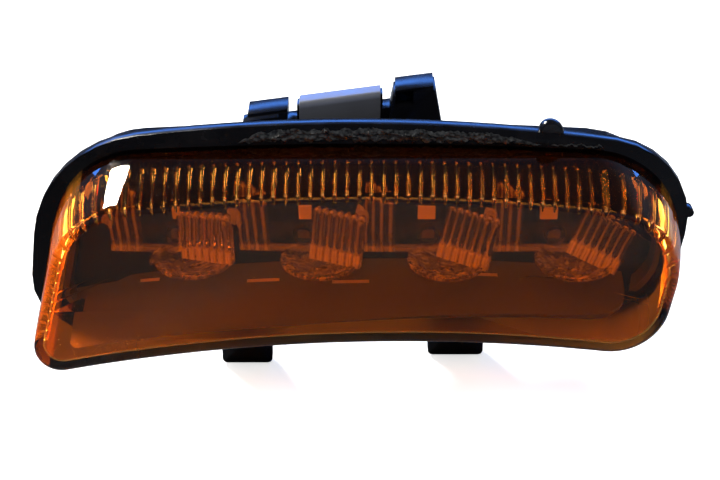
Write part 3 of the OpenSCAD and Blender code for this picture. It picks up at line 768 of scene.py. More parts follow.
@dataclass(frozen=True)
class LampOutline:
    """A closed outline of two long arcs, two leaning ends and four round corners that touch them.

    The corners are the radii of the upper left, upper right, lower right and lower left one.
    """

    top: LongEdge
    bottom: LongEdge
    left: LampEnd
    right: LampEnd
    corners: tuple[float, float, float, float]

    def corner_centre(self, end: LampEnd, side: int, radius: float, arc: Array, reach: float) -> Array:
        """Finds the centre of a corner.

        The centre lies on a line parallel to the end, a radius inside it, at the distance reach from
        the long arc's centre, which is where a quadratic in the place along that line is zero.

        Args:
            end: the end that it touches.
            side: -1 for the left end, 1 for the right.
            radius: the corner's radius.
            arc: the long arc's centre.
            reach: the distance between the two centres.

        Returns:
            The centre.
        """
        a = math.radians(end.lean)
        along = np.array([math.sin(a), math.cos(a)])
        outward = side * np.array([math.cos(a), -math.sin(a)])
        start = np.array([end.place, 0.0]) - radius * outward
        away = start - arc
        b = float(away @ along)
        return start + (-b + math.sqrt(b * b - float(away @ away) + reach * reach)) * along

    def upper_corners(self) -> tuple[Array, Array]:
        """Finds the centres of the two upper corners, which touch the upper arc from inside.

        Returns:
            The left one and the right one.
        """
        top = self.top.centre()
        r_tl, r_tr = self.corners[:2]
        return (self.corner_centre(self.left, -1, r_tl, top, self.top.radius - r_tl),
                self.corner_centre(self.right, 1, r_tr, top, self.top.radius - r_tr))

    def lower_corners(self) -> tuple[Array, Array]:
        """Finds the centres of the two lower corners, which touch the lower arc from outside.

        Returns:
            The left one and the right one.
        """
        low = self.bottom.centre()
        r_br, r_bl = self.corners[2:]
        return (self.corner_centre(self.left, -1, r_bl, low, self.bottom.radius + r_bl),
                self.corner_centre(self.right, 1, r_br, low, self.bottom.radius + r_br))

    def top_headings(self) -> tuple[float, float]:
        """Finds the headings of the upper arc's ends from its centre.

        Returns:
            The left end's and the right end's, in degrees.
        """
        top = self.top.centre()
        left, right = self.upper_corners()
        return heading(left - top), heading(right - top)

    def points(self, stretch: Array, share: Array, inset: Array) -> Array:
        """Points on the outline, drawn in by an inset.

        A corner's point is its centre plus its radius, less the inset, in a direction that turns
        evenly; a long edge's point is the same about the long arc's centre; an end's point lies
        evenly between the corners' last points.

        Args:
            stretch: the number of each point's stretch.
            share: how far along the stretch it is, 0 to 1.
            inset: how far it is drawn in.

        Returns:
            An array of points in X and Z.
        """
        inset = np.broadcast_to(np.asarray(inset, float), share.shape)
        r_tl, r_tr, r_br, r_bl = self.corners
        top, low = self.top.centre(), self.bottom.centre()
        tl, tr = self.upper_corners()
        bl, br = self.lower_corners()
        west, east = 180.0 - self.left.lean, -self.right.lean
        turns = {
            Stretch.TOP_RIGHT_CORNER: (tr, r_tr, -1, east, heading(tr - top)),
            Stretch.TOP_EDGE: (top, self.top.radius, -1, heading(tr - top), heading(tl - top)),
            Stretch.TOP_LEFT_CORNER: (tl, r_tl, -1, heading(tl - top), west),
            Stretch.BOTTOM_LEFT_CORNER: (bl, r_bl, -1, west, 360.0 + heading(low - bl)),
            Stretch.BOTTOM_EDGE: (low, self.bottom.radius, 1, heading(bl - low), heading(br - low)),
            Stretch.BOTTOM_RIGHT_CORNER: (br, r_br, -1, 360.0 + heading(low - br), 360.0 + east),
        }
        out = np.zeros(share.shape + (2,))
        for part, (centre, radius, sign, start, end) in turns.items():
            at = stretch == part.value
            angle = start + (end - start) * share[at]
            out[at] = centre + (radius + sign * inset[at])[:, None] * direction(angle)
        ends = {
            Stretch.RIGHT_UPPER: (tr, r_tr, br, r_br, east, 0.5, 1.0),
            Stretch.RIGHT_LOWER: (tr, r_tr, br, r_br, east, 0.0, 0.5),
            Stretch.LEFT_UPPER: (bl, r_bl, tl, r_tl, west, 0.0, 0.5),
            Stretch.LEFT_LOWER: (bl, r_bl, tl, r_tl, west, 0.5, 1.0),
        }
        for part, (a, ra, b, rb, way, start, end) in ends.items():
            at = stretch == part.value
            d = direction(way)
            first = a + (ra - inset[at])[:, None] * d
            second = b + (rb - inset[at])[:, None] * d
            s = (start + (end - start) * share[at])[:, None]
            out[at] = second + (first - second) * s
        return out


FLANGE_TOP, FLANGE_DROP, HALF = 29.2, 20.4, 74.7
BARE_TOP, BARE_BOTTOM, BARE_LEFT, BARE_RIGHT = 4.8, 3.9, 4.4, 1.9
DRAFT_TOP, DRAFT_BOTTOM, DRAFT_LEFT, DRAFT_RIGHT = 2.9, 1.2, 2.0, 3.5
FLANGE = LampOutline(
    LongEdge(FLANGE_TOP, 400.0, -1.0), LongEdge(-FLANGE_DROP, 480.0, 6.0),
    LampEnd(-HALF - 0.3, 8.2), LampEnd(HALF - 0.4, 8.5), (29.0, 20.5, 19.0, 14.0))
LENS_BASE = LampOutline(
    LongEdge(FLANGE_TOP - BARE_TOP, 900.0, 1.0), LongEdge(-FLANGE_DROP + BARE_BOTTOM, 420.0, 7.0),
    LampEnd(-HALF + BARE_LEFT, 11.0), LampEnd(HALF - BARE_RIGHT, 4.0), (21.0, 22.0, 15.0, 9.0))
LENS_FACE = LampOutline(
    LongEdge(FLANGE_TOP - BARE_TOP - DRAFT_TOP, 380.0, 1.0),
    LongEdge(-FLANGE_DROP + BARE_BOTTOM + DRAFT_BOTTOM, 380.0, 10.0),
    LampEnd(-HALF + BARE_LEFT + DRAFT_LEFT, 15.5), LampEnd(HALF - BARE_RIGHT - DRAFT_RIGHT, 9.3),
    (19.5, 17.0, 12.0, 5.5))


# The lamp's pieces


@dataclass
class FlutedLens:
    """The amber lens: smooth outside, with round flutes inside its upper wall and its ends."""

    flange_face: float = -3.0
    depth: float = 20.0
    wall: float = 2.2
    edge_r: float = 1.6
    fillet: float = 0.9
    bow: float = 0.6
    flute_h: float = 0.9
    flute_w: float = 0.85
    flute_pitch: float = 2.65
    flute_start: float = 5.6
    flute_rise: tuple[tuple[float, float], ...] = ((0.12, 0.45), (0.3, 0.85), (0.6, 1.0))
    flute_points: int = 12
    flute_spread: float = 1.08
    gap_place: float = 0.33
    steps: tuple[int, ...] = (3, 8, 38, 7, 4, 4, 7, 38, 8, 3)
    fluted: tuple[int, ...] = (1, 1, 1, 1, 1, 1, 0, 0, 0, 1)
    plain: int = 3
    narrowing: float = 0.975
    outer_rings: int = 14
    edge_rings: int = 8
    plain_rings: int = 5
    flute_rings: int = 12
    fillet_rings: int = 6

    def around(self) -> tuple[Array, Array, Array]:
        """Places points round the outline.

        Each flute's step has three points in its gap and more across the flute, and each plain step
        has evenly spaced points. A flute's height is the squared cosine of its distance from the
        step's middle, zero outside the flute's foot.

        Returns:
            Each point's stretch, its share of the stretch, and its flute height from 0 to 1.
        """
        stretches, shares, crests = [], [], []
        width = self.flute_w / self.flute_pitch
        over = np.linspace(-self.flute_spread, self.flute_spread, self.flute_points + 1)[:-1] * width / 2
        across = np.concatenate([[-0.5, -self.gap_place], over, [self.gap_place]])
        for number, (count, has) in enumerate(zip(self.steps, self.fluted)):
            local = across + 0.5 if has else np.arange(self.plain) / self.plain
            s = ((np.arange(count)[:, None] + local[None, :]) / count).reshape(-1)
            part = (s * count) % 1.0 - 0.5
            crest = np.where(np.abs(part) < width / 2, np.cos(np.pi * part / width) ** 2, 0.0)
            stretches.append(np.full(s.shape, number))
            shares.append(s)
            crests.append(crest * has)
        return np.concatenate(stretches), np.concatenate(shares), np.concatenate(crests)

    def on_face(self, stretch: Array, share: Array) -> tuple[Array, Array]:
        """Finds where each point of the base outline runs to on the face outline.

        A point of the upper edge runs to a place that is a fixed share nearer the lamp's middle.
        The two upper corners take up the rest evenly by length, past their tangent points.

        Args:
            stretch: each point's stretch on the base.
            share: its share of the stretch.

        Returns:
            The stretch and the share on the face.
        """
        base_l, base_r = LENS_BASE.top_headings()
        face_l, face_r = LENS_FACE.top_headings()
        s = np.concatenate([share, [0.0, 1.0]])
        x = LENS_BASE.top.crown + LENS_BASE.top.radius * np.cos(np.radians(base_r + (base_l - base_r) * s))
        turn = np.degrees(np.arccos((x * self.narrowing - LENS_FACE.top.crown) / LENS_FACE.top.radius))
        moved = (turn - face_r) / (face_l - face_r)
        edge = LENS_FACE.top.radius * math.radians(face_l - face_r)
        first, last = float(moved[-2]), float(moved[-1])
        right = LENS_FACE.corners[1] * math.radians(face_r + LENS_FACE.right.lean)
        left = LENS_FACE.corners[0] * math.radians(180.0 - LENS_FACE.left.lean - face_l)
        out_stretch, out_share = stretch.copy(), share.copy()
        top = stretch == Stretch.TOP_EDGE.value
        out_share[top] = moved[:-2][top]
        at = stretch == Stretch.TOP_RIGHT_CORNER.value
        length = share * (right + first * edge)
        out_share[at] = (length / right)[at]
        past = at & (length > right)
        out_stretch[past] = Stretch.TOP_EDGE.value
        out_share[past] = ((length - right) / edge)[past]
        at = stretch == Stretch.TOP_LEFT_CORNER.value
        spare = (1 - last) * edge
        length = share * (left + spare)
        out_share[at] = ((length - spare) / left)[at]
        before = at & (length < spare)
        out_stretch[before] = Stretch.TOP_EDGE.value
        out_share[before] = (last + length / edge)[before]
        return out_stretch, out_share

    def ring(self, y: float, inset: Array, stretch: Array, share: Array) -> Array:
        """One ring of the wall at a depth.

        The point lies between the base outline and the face outline by the share of the depth, and
        both are swelled by a low parabola along the depth.

        Args:
            y: the depth.
            inset: how far each point is drawn in.
            stretch: each point's stretch.
            share: each point's share of it.

        Returns:
            An array of points.
        """
        part = (self.flange_face - y) / self.depth
        swell = self.bow * 4 * part * (1 - part)
        base = LENS_BASE.points(stretch, share, inset - swell)
        face = LENS_FACE.points(*self.on_face(stretch, share), inset - swell)
        flat = base + (face - base) * part
        return np.stack([flat[:, 0], np.full(len(flat), y), flat[:, 1]], axis=-1)

    def face_y(self) -> float:
        """Gives the depth of the face's outside."""
        return self.flange_face - self.depth

    def outside(self, stretch: Array, share: Array) -> list[Array]:
        """Works out the outside's rings, down the wall and round the quarter circle of the face's edge.

        Args:
            stretch: each point's stretch.
            share: each point's share of it.

        Returns:
            The rings, from the flange to the face.
        """
        zero = np.zeros(len(share))
        wall_end = self.face_y() + self.edge_r
        rings = [self.ring(y, zero, stretch, share)
                 for y in np.linspace(self.flange_face, wall_end, self.outer_rings)]
        for a in np.radians(np.linspace(11, 90, self.edge_rings)):
            y = self.face_y() + self.edge_r * (1 - math.sin(a))
            rings.append(self.ring(y, zero + self.edge_r * (1 - math.cos(a)), stretch, share))
        return rings

    def inside(self, stretch: Array, share: Array, crest: Array) -> list[Array]:
        """Works out the inside's rings, down the fluted wall and round the fillet behind the face.

        Behind a plain band each flute rises to its full height in three rings, and it dies out where
        the fillet's quarter circle stands out further than it.

        Args:
            stretch: each point's stretch.
            share: each point's share of it.
            crest: each point's flute height, from 0 to 1.

        Returns:
            The rings, from the flange to the face.
        """
        start = self.flange_face - self.flute_start
        back_y = self.face_y() + self.wall
        heights = [(float(y), 0.0) for y in np.linspace(self.flange_face, start, self.plain_rings)]
        heights += [(start - depth, height) for depth, height in self.flute_rise[:-1]]
        full = start - self.flute_rise[-1][0]
        heights += [(float(y), 1.0) for y in np.linspace(full, back_y + self.fillet, self.flute_rings)]
        rings = [self.ring(y, self.wall + crest * self.flute_h * height, stretch, share) for y, height in heights]
        for a in np.radians(np.linspace(15, 90, self.fillet_rings)):
            inset = self.wall + np.maximum(crest * self.flute_h, self.fillet * (1 - math.cos(a)))
            rings.append(self.ring(back_y + self.fillet * (1 - math.sin(a)), inset, stretch, share))
        return rings

    def build(self, material: bpy.types.Material) -> bpy.types.Object:
        """Makes the closed shell: the outside, the inside, the rim that joins them, and the face's two sides.

        Args:
            material: the amber finish.

        Returns:
            The piece.
        """
        stretch, share, crest = self.around()
        outer, inner = self.outside(stretch, share), self.inside(stretch, share, crest)
        n = len(share)
        first_inner = len(outer) * n
        faces = grid_faces(len(outer), n, True).tolist()
        faces += grid_faces(len(inner), n, True, flip=True, first=first_inner).tolist()
        rim = np.arange(n)
        after = (rim + 1) % n
        faces += np.stack([rim, rim + first_inner, after + first_inner, after], axis=-1).tolist()
        faces.append((rim + first_inner - n).tolist())
        faces.append((rim + first_inner + (len(inner) - 1) * n).tolist()[::-1])
        return make_piece("fluted_lens", np.concatenate(outer + inner), faces, material, 50.0)


@dataclass(frozen=True)
class SealRun:
    """One run of the seal: its two ends, its gaps to the lens and to the flange's edge, thickness and seed."""

    start: float
    end: float
    above: float
    below: float
    thick: float
    seed: int


@dataclass
class TornSeal:
    """What is left of the foam seal on the flange's front: two runs of ragged, pitted foam."""

    runs: tuple[SealRun, ...] = (
        SealRun(-27.0, 40.3, 0.15, 0.7, 1.0, 3), SealRun(42.5, 54.0, 0.15, 1.9, 0.5, 8))
    front: float = -3.0
    pitch: float = 0.16
    rows: int = 26
    skin: float = 0.04
    swell: float = 2.2
    least: float = 0.15
    wander_low: float = 0.9
    wander_high: float = 0.8

    def build(self, material: bpy.types.Material) -> bpy.types.Object:
        """Makes both runs as one mesh.

        Args:
            material: the foam.

        Returns:
            The piece.
        """
        points: list[Array] = []
        faces: list[list[int]] = []
        first = 0
        for run in self.runs:
            top = self.surface(run)
            base = top.copy()
            base[..., 1] = self.front
            faces += slab_faces(*top.shape[:2], first=first)
            points += [top.reshape(-1, 3), base.reshape(-1, 3)]
            first += len(points[-1]) * 2
        return make_piece("torn_foam", np.concatenate(points), faces, material, 60.0)

    def surface(self, run: SealRun) -> Array:
        """Works out one run's outer surface.

        It is a grid over the run's length, between the lens and the flange's edge. Its edges wander by
        noise, it tapers at its ends, and its thickness is a low dome times three sizes of noise.

        Args:
            run: the run.

        Returns:
            A grid of points.
        """
        seed = run.seed
        u, v = unit_grid(self.rows, int((run.end - run.start) / self.pitch))
        x = run.start + (run.end - run.start) * u
        fade = np.clip(np.minimum(u, 1 - u) * 12, 0.0, 1.0) ** 0.5
        loose = 0.4 + 0.6 * fade
        low, high = self.ragged(x, 0.9, 3.1, seed), self.ragged(x, 0.8, 2.7, seed + 2)
        z_low = LENS_BASE.top.height_at(x) + run.above + self.wander_low * low * loose
        z_high = FLANGE.top.height_at(x) - run.below - self.wander_high * high * loose
        taper = smooth_step(-0.02, 0.16, np.minimum(u * 2.0, 1 - u))
        z_high = np.maximum(z_low + (z_high - z_low) * taper, z_low + self.least)
        z = z_low + (z_high - z_low) * v
        dome = np.clip(1 - (2 * v - 1) ** 4, 0, 1) * fade
        slant = x + 0.8 * z
        lumps = (0.2 + 0.8 * hash_noise(slant * 0.45, z * 1.3, seed + 4)) * (
            0.3 + 0.7 * smooth_step(0.25, 0.75, hash_noise(slant * 1.1, z * 3.0, seed + 5))) * (
            0.55 + 0.45 * hash_noise(x * 4.0, z * 5.0, seed + 6))
        height = self.skin + run.thick * self.swell * dome * lumps
        return np.stack([x, self.front - height, z], axis=-1)

    def ragged(self, x: Array, coarse: float, fine: float, seed: int) -> Array:
        """Gives a wandering edge: noise along the run in two sizes, the finer one half as strong.

        Args:
            x: places along the run, in millimetres.
            coarse: how many features of the larger size there are to the millimetre.
            fine: the same for the smaller size.
            seed: picks the pattern.

        Returns:
            Values from 0 to 1.5.
        """
        level = np.zeros_like(x)
        return hash_noise(x * coarse, level, seed) + 0.5 * hash_noise(x * fine, level, seed + 1)


@dataclass
class Shapes:
    """Collects the points and faces of one piece that is made of several closed parts."""

    points: list[Array] = field(default_factory=list)
    faces: list[list[int]] = field(default_factory=list)
    count: int = 0
    # The painted glints and glow: how pale and unclear a part is made, to stand in for light caught in it.
    glint_paint: Any = 0.1
    glint_paints: list[Array] = field(default_factory=list)

    def add(self, points: Array, faces: Any) -> None:
        """Adds a part, with the painted glint share that is set at the moment, one value or one for each point.

        Args:
            points: its points.
            faces: its faces, numbered from its own first point.
        """
        self.points.append(np.asarray(points, float))
        self.glint_paints.append(np.broadcast_to(np.asarray(self.glint_paint, float), len(points)).copy())
        self.faces += [[int(v) + self.count for v in face] for face in faces]
        self.count += len(points)

    def slab(self, front: Array, back: Array, rows: int, columns: int) -> None:
        """Adds a closed slab between two grids of points.

        The front grid's rows run upwards and its columns to the right as seen from the front.

        Args:
            front: the front grid.
            back: the back grid, numbered alike.
            rows: rows of points.
            columns: points in a row.
        """
        self.add(np.concatenate([front.reshape(-1, 3), back.reshape(-1, 3)]), slab_faces(rows, columns))

    def revolved(self, profile: Array, turns: int, place: Sequence[float], wave: float = 0.0,
                 waves: int = 0, behind: Optional[float] = None) -> None:
        """Adds a closed solid of revolution about an upright axis.

        Each profile point sweeps a circle; the two ends of the profile lie on the axis and close
        with fans. A wave ripples the radius round the circle, and points behind a plane are pressed
        onto it.

        Args:
            profile: radius and height of each point, from the lower pole to the upper.
            turns: points in a circle.
            place: the axis's place.
            wave: the ripple's share of the radius.
            waves: ripples in a turn.
            behind: the depth of the plane that cuts the back off.
        """
        inner = profile[1:-1]
        angle = np.arange(turns) / turns * 2 * np.pi
        radius = inner[:, :1] * (1 + wave * np.cos(waves * angle))[None, :]
        height = inner[:, 1:2].repeat(turns, 1)
        ring = np.stack([radius * np.cos(angle), radius * np.sin(angle), height], axis=-1)
        poles = np.array([[0, 0, profile[0, 1]], [0, 0, profile[-1, 1]]])
        points = np.concatenate([ring.reshape(-1, 3), poles]) + np.asarray(place, float)
        if behind is not None:
            points[:, 1] = np.minimum(points[:, 1], behind)
        rows = len(inner)
        faces = grid_faces(rows, turns, True).tolist()
        around = np.arange(turns)
        after = (around + 1) % turns
        low, high = rows * turns, rows * turns + 1
        faces += np.stack([np.full(turns, low), after, around], axis=-1).tolist()
        top = (rows - 1) * turns
        faces += np.stack([np.full(turns, high), around + top, after + top], axis=-1).tolist()
        self.add(points, faces)

    def rounded_box(self, low: Sequence[float], high: Sequence[float], radius: float) -> None:
        """Adds a box with rounded edges.

        A finely divided cube's points are drawn to a smaller inner box and pushed out from it by the
        radius along the line between the two.

        Args:
            low: its lowest corner.
            high: its highest corner.
            radius: the rounding.
        """
        body = bmesh.new()
        bmesh.ops.create_cube(body, size=2.0)
        bmesh.ops.subdivide_edges(body, edges=body.edges, cuts=7, use_grid_fill=True)
        body.verts.index_update()
        unit = np.array([tuple(v.co) for v in body.verts])
        faces = [[v.index for v in f.verts] for f in body.faces]
        body.free()
        middle = (np.asarray(low, float) + np.asarray(high, float)) / 2
        half = (np.asarray(high, float) - np.asarray(low, float)) / 2
        steps = np.array([0.0, 0.55, 0.85, 0.96, 1.0])
        eased = np.interp(np.abs(unit), [0.0, 0.25, 0.5, 0.75, 1.0], steps) * np.sign(unit)
        full = eased * half
        core = np.clip(full, -(half - radius), half - radius)
        out = full - core
        size = np.maximum(np.linalg.norm(out, axis=1, keepdims=True), 1e-9)
        self.add(middle + core + out / size * radius * (size > 1e-6), faces)


def turned(points: Array, lean: float, roll: float, yaw: float) -> Array:
    """Turns points about X, then Y, then Z.

    Args:
        points: the points.
        lean: the turn about X, in degrees.
        roll: the turn about Y, in degrees.
        yaw: the turn about Z, in degrees.

    Returns:
        The turned points.
    """
    matrix = (Matrix.Rotation(math.radians(yaw), 3, "Z") @ Matrix.Rotation(math.radians(roll), 3, "Y")
              @ Matrix.Rotation(math.radians(lean), 3, "X"))
    return np.asarray(points) @ np.array(matrix).T


@dataclass
class LightGuide:
    """One clear optic: a fluted block on a half-round bowl, a fluted wing, a leaf and a square lug."""

    number: int
    first: float = -40.5
    pitch: float = 29.5
    yaws: tuple[float, ...] = (14, 18, 21, 26)
    leans: tuple[float, ...] = (4, 12, 18, 24)
    rolls: tuple[float, ...] = (0, 4, 8, 15)
    lugs: tuple[tuple[float, float], ...] = ((-1.8, 1.8), (-1.6, 3.0), (-3.2, 4.1), (-4.6, 4.1))
    bowl: tuple[float, float] = (1.4, -4.4)
    bowl_r: float = 9.2
    bowl_low: float = -8.3
    rim: float = -4.6
    rim_t: float = 1.2
    back: float = 2.8
    face: float = 3.0
    block_x: float = 4.6
    block_w: float = 12.4
    block_h: float = 11.8
    block_t: float = 2.6
    foot: float = 2.8
    flutes: int = 7
    flute_out: float = 0.72
    fine_out: float = 0.3
    scallop: float = 0.9
    block_grid: tuple[int, int] = (28, 90)
    wing_x: float = -14.1
    wing_w: float = 7.4
    wing_top: float = 12.2
    wing_slope: float = 2.2
    wing_cut: float = 4.5
    wing_flutes: int = 4
    wing_flute_out: float = 0.62
    wing_grid: tuple[int, int] = (113, 70)
    leaf_r: float = 1.5
    leaf_h: float = 7.6
    inlet_z: float = -1.2
    stubs: tuple[tuple[float, float], ...] = ((-12.0, 0.9), (7.0, 0.9), (-2.5, 2.2))
    stub_h: float = 3.4

    def block(self, shapes: Shapes) -> None:
        """Adds the fluted block.

        The front's depth is a row of round flutes that die out in points above the foot, where a
        finer row of twice the number begins; the top edge is scalloped to each flute. Glints are
        painted on the ridges, the teeth above the foot and the top edge, which are made pale and less clear.

        Args:
            shapes: what it is added to.
        """
        columns, rows = self.block_grid[0] * self.flutes + 1, self.block_grid[1]
        u, v = unit_grid(rows, columns)
        part = (u * self.flutes) % 1.0 - 0.5
        ridge = round_ridge(part, 0.43)
        fine = round_ridge((u * self.flutes * 2) % 1.0 - 0.5, 0.46)
        height = self.block_h + self.rim_t / 2
        z = v * (height - self.scallop * (1 - ridge) * smooth_step(0.8, 1.0, v))
        start = self.foot + self.scallop * (1 - ridge)
        grow = smooth_step(0.0, 1.6, z - start)
        bulge = self.flute_out * ridge * grow
        bulge = bulge + self.fine_out * fine * (1 - smooth_step(self.foot - 0.6, self.foot + 0.4, z))
        x = (u - 0.5) * self.block_w
        crown = smooth_step(0.93, 1.0, v)
        front = np.stack([x, -bulge * (1 - 0.5 * crown) + 0.5 * crown, z], axis=-1)
        groove = 0.35 * round_ridge(part, 0.5) * grow
        back = np.stack([x, self.block_t - 0.5 * crown + groove - 0.35, z], axis=-1)
        turn = (-self.leans[self.number], self.rolls[self.number], -self.yaws[self.number])
        place = np.array([self.block_x, self.bowl[1] - 1.5, self.rim + self.rim_t / 2])
        both = [turned(grid.reshape(-1, 3), *turn) + place for grid in (front, back)]
        for grid in both:
            grid[:, 1] = np.minimum(grid[:, 1], self.back)
        # Painted glints: thin lines on the ridges, bright teeth above the foot and the top edge, over a faint
        # even glow.
        tooth = smooth_step(0.1, -0.1, z - start - 2.2 * (1 - np.abs(part) * 2) ** 1.5)
        line = smooth_step(0.24, 0.05, np.abs(part)) * (0.6 + 0.4 * smooth_step(0.7, 0.3, v))
        glow = 0.015 + 0.24 * line + 0.36 * tooth * (0.3 + 0.7 * fine ** 3) + 0.3 * crown
        shapes.glint_paint = np.concatenate([glow.reshape(-1), np.zeros(rows * columns)])
        shapes.slab(both[0], both[1], rows, columns)

    def dish(self, shapes: Shapes) -> None:
        """Adds the bowl.

        Its outside follows a power curve from the foot to the rim, with a fine ripple round it, and
        its inside is a shallower dish with three rings. Its painted glints run in bent streaks of noise.

        Args:
            shapes: what it is added to.
        """
        depth = self.rim - self.bowl_low
        t = np.linspace(0, 1, 22)
        outside = np.stack([2.2 + (self.bowl_r - 2.8) * t ** 0.8, t * depth], axis=-1)
        wall = np.array([[self.bowl_r - 0.5, depth + 0.05], [self.bowl_r - 0.1, depth + 0.2],
                         [self.bowl_r, depth + 0.5], [self.bowl_r, depth + self.rim_t - 0.2],
                         [self.bowl_r - 0.2, depth + self.rim_t]])
        s = np.linspace(0.04, 1, 30)[::-1]
        inside = np.stack([(self.bowl_r - 1.2) * s, depth + self.rim_t - 2.6 * (1 - s ** 2)
                           + 0.14 * np.sin(s * 19)], axis=-1)
        profile = np.concatenate([[[0, 0.7]], [[1.0, 0.5], [1.7, 0.1]], outside, wall, inside,
                                  [[0, depth + self.rim_t - 2.6]]])
        turns = 128
        turn = np.arange(turns) / turns * 2 * np.pi
        x = (profile[1:-1, :1] * np.cos(turn)).reshape(-1)
        y = (profile[1:-1, :1] * np.sin(turn)).reshape(-1)
        # Painted glints: pale, less clear streaks of noise.
        bend = hash_noise(x * 0.5 + 3 * self.number, y * 0.7, 11)
        streak = smooth_step(0.58, 0.88, hash_noise(x * 1.1 + 3 * bend, y * 1.9 + 4 * bend, 12 + self.number))
        shapes.glint_paint = np.append(0.02 + 0.28 * streak, [0.1, 0.1])
        shapes.revolved(profile, turns, (self.bowl[0], self.bowl[1], self.bowl_low), 0.006, 32, self.back)

    def wing(self, shapes: Shapes) -> None:
        """Adds the wing.

        Its top edge dips in a V to the left, and its front has four round flutes of uneven width.
        Glints are painted on its ridges, its foot and its top edge, which are made pale and less clear.

        Args:
            shapes: what it is added to.
        """
        columns, rows = self.wing_grid
        u, v = unit_grid(rows, columns)
        part = (u ** 0.85 * self.wing_flutes) % 1.0 - 0.5
        ridge = round_ridge(part, 0.44)
        top = (self.wing_top - self.wing_slope * smooth_step(0.2, 0.95, u)
               - self.wing_cut * smooth_step(0.12, 0.0, u) - 0.5 * (1 - ridge))
        low = self.rim + 0.2
        z = low + (top - low) * v
        grow = smooth_step(0.08, 0.25, v)
        x = (u - 0.5) * self.wing_w + self.wing_x
        crown = smooth_step(0.94, 1.0, v)
        bulge = self.wing_flute_out * ridge * grow * (1 - 0.6 * crown)
        front = np.stack([x, 0.5 - bulge + 0.5 * crown, z], axis=-1)
        back = np.stack([x, 2.5 - 0.4 * crown, z], axis=-1)
        # Painted glints on the ridges, the foot and the top edge.
        line = smooth_step(0.28, 0.06, np.abs(part))
        glow = 0.02 + 0.26 * line + 0.26 * smooth_step(0.2, 0.0, v) + 0.3 * crown
        shapes.glint_paint = np.concatenate([glow.reshape(-1), np.zeros(rows * columns)])
        shapes.slab(front, back, rows, columns)

    def leaf(self, shapes: Shapes) -> None:
        """Adds the leaf-shaped prism at the wing's left.

        It is a pointed spindle, whose radius follows a power of half a sine wave, pressed flat from
        front to back and turned to lean as the wing's edge does.

        Args:
            shapes: what it is added to.
        """
        t = np.linspace(0, 1, 26)
        radius = self.leaf_r * np.sin(np.pi * t) ** 1.3
        shapes.revolved(np.stack([radius, t * self.leaf_h], axis=-1), 28, (0.0, 0.0, 0.0))
        spindle = shapes.points[-1]
        spindle[:, 1] *= 0.55
        spindle[:] = turned(spindle, 6, -13, 0) + np.array([self.wing_left() + 0.6, 0.9, 1.4])

    def wing_left(self) -> float:
        """Gives the place of the wing's left edge."""
        return self.wing_x - self.wing_w / 2

    def fittings(self, shapes: Shapes) -> None:
        """Adds the square lug, the thin plate behind, the bar at the foot, two pegs and the inlet.

        Args:
            shapes: what they are added to.
        """
        # Painted glow: the lug is made palest, the bar a little pale, the plate, the pegs and the inlet clear.
        shapes.glint_paint = 0.5
        middle, width = self.lugs[self.number]
        shapes.rounded_box((middle - width / 2, 0.4, 4.1), (middle + width / 2, 2.6, 7.6), 0.25)
        shapes.glint_paint = 0.0
        shapes.rounded_box((self.wing_left() + 1, self.face - 0.8, self.rim), (9.0, self.face, 7.1), 0.15)
        shapes.glint_paint = 0.1
        shapes.rounded_box((self.wing_left(), 0.4, self.rim),
                           (self.bowl[0] + self.bowl_r - 2, self.face, self.rim + self.rim_t), 0.25)
        shapes.glint_paint = 0.0
        for x, radius in self.stubs:
            t = np.linspace(0, 1, 5)
            side = np.stack([np.full(5, radius), t * self.stub_h], axis=-1)
            shapes.revolved(np.concatenate([[[0, 0]], side, [[0, self.stub_h]]]), 32, (0, 0, 0))
            stub = shapes.points[-1]
            stub[:] = turned(stub, -90, 0, 0) + np.array([x, 1.4, self.inlet_z])

    def build(self, material: bpy.types.Material) -> bpy.types.Object:
        """Makes the whole optic.

        Args:
            material: the clear finish.

        Returns:
            The piece.
        """
        shapes = Shapes()
        self.dish(shapes)
        self.block(shapes)
        self.wing(shapes)
        # The leaf gets an even painted glow.
        shapes.glint_paint = 0.25
        self.leaf(shapes)
        self.fittings(shapes)
        points = np.concatenate(shapes.points)
        points[:, 0] += self.first + self.pitch * self.number
        guide = make_piece(f"light_guide_{self.number + 1}", points, shapes.faces, material, 42.0)
        # Stores the painted glints and glow as a point attribute for the clear acrylic.
        glint_paint = guide.data.attributes.new(PAINTED_GLINTS, "FLOAT", "POINT")
        glint_paint.data.foreach_set("value", np.concatenate(shapes.glint_paints).astype(np.float32))
        return guide


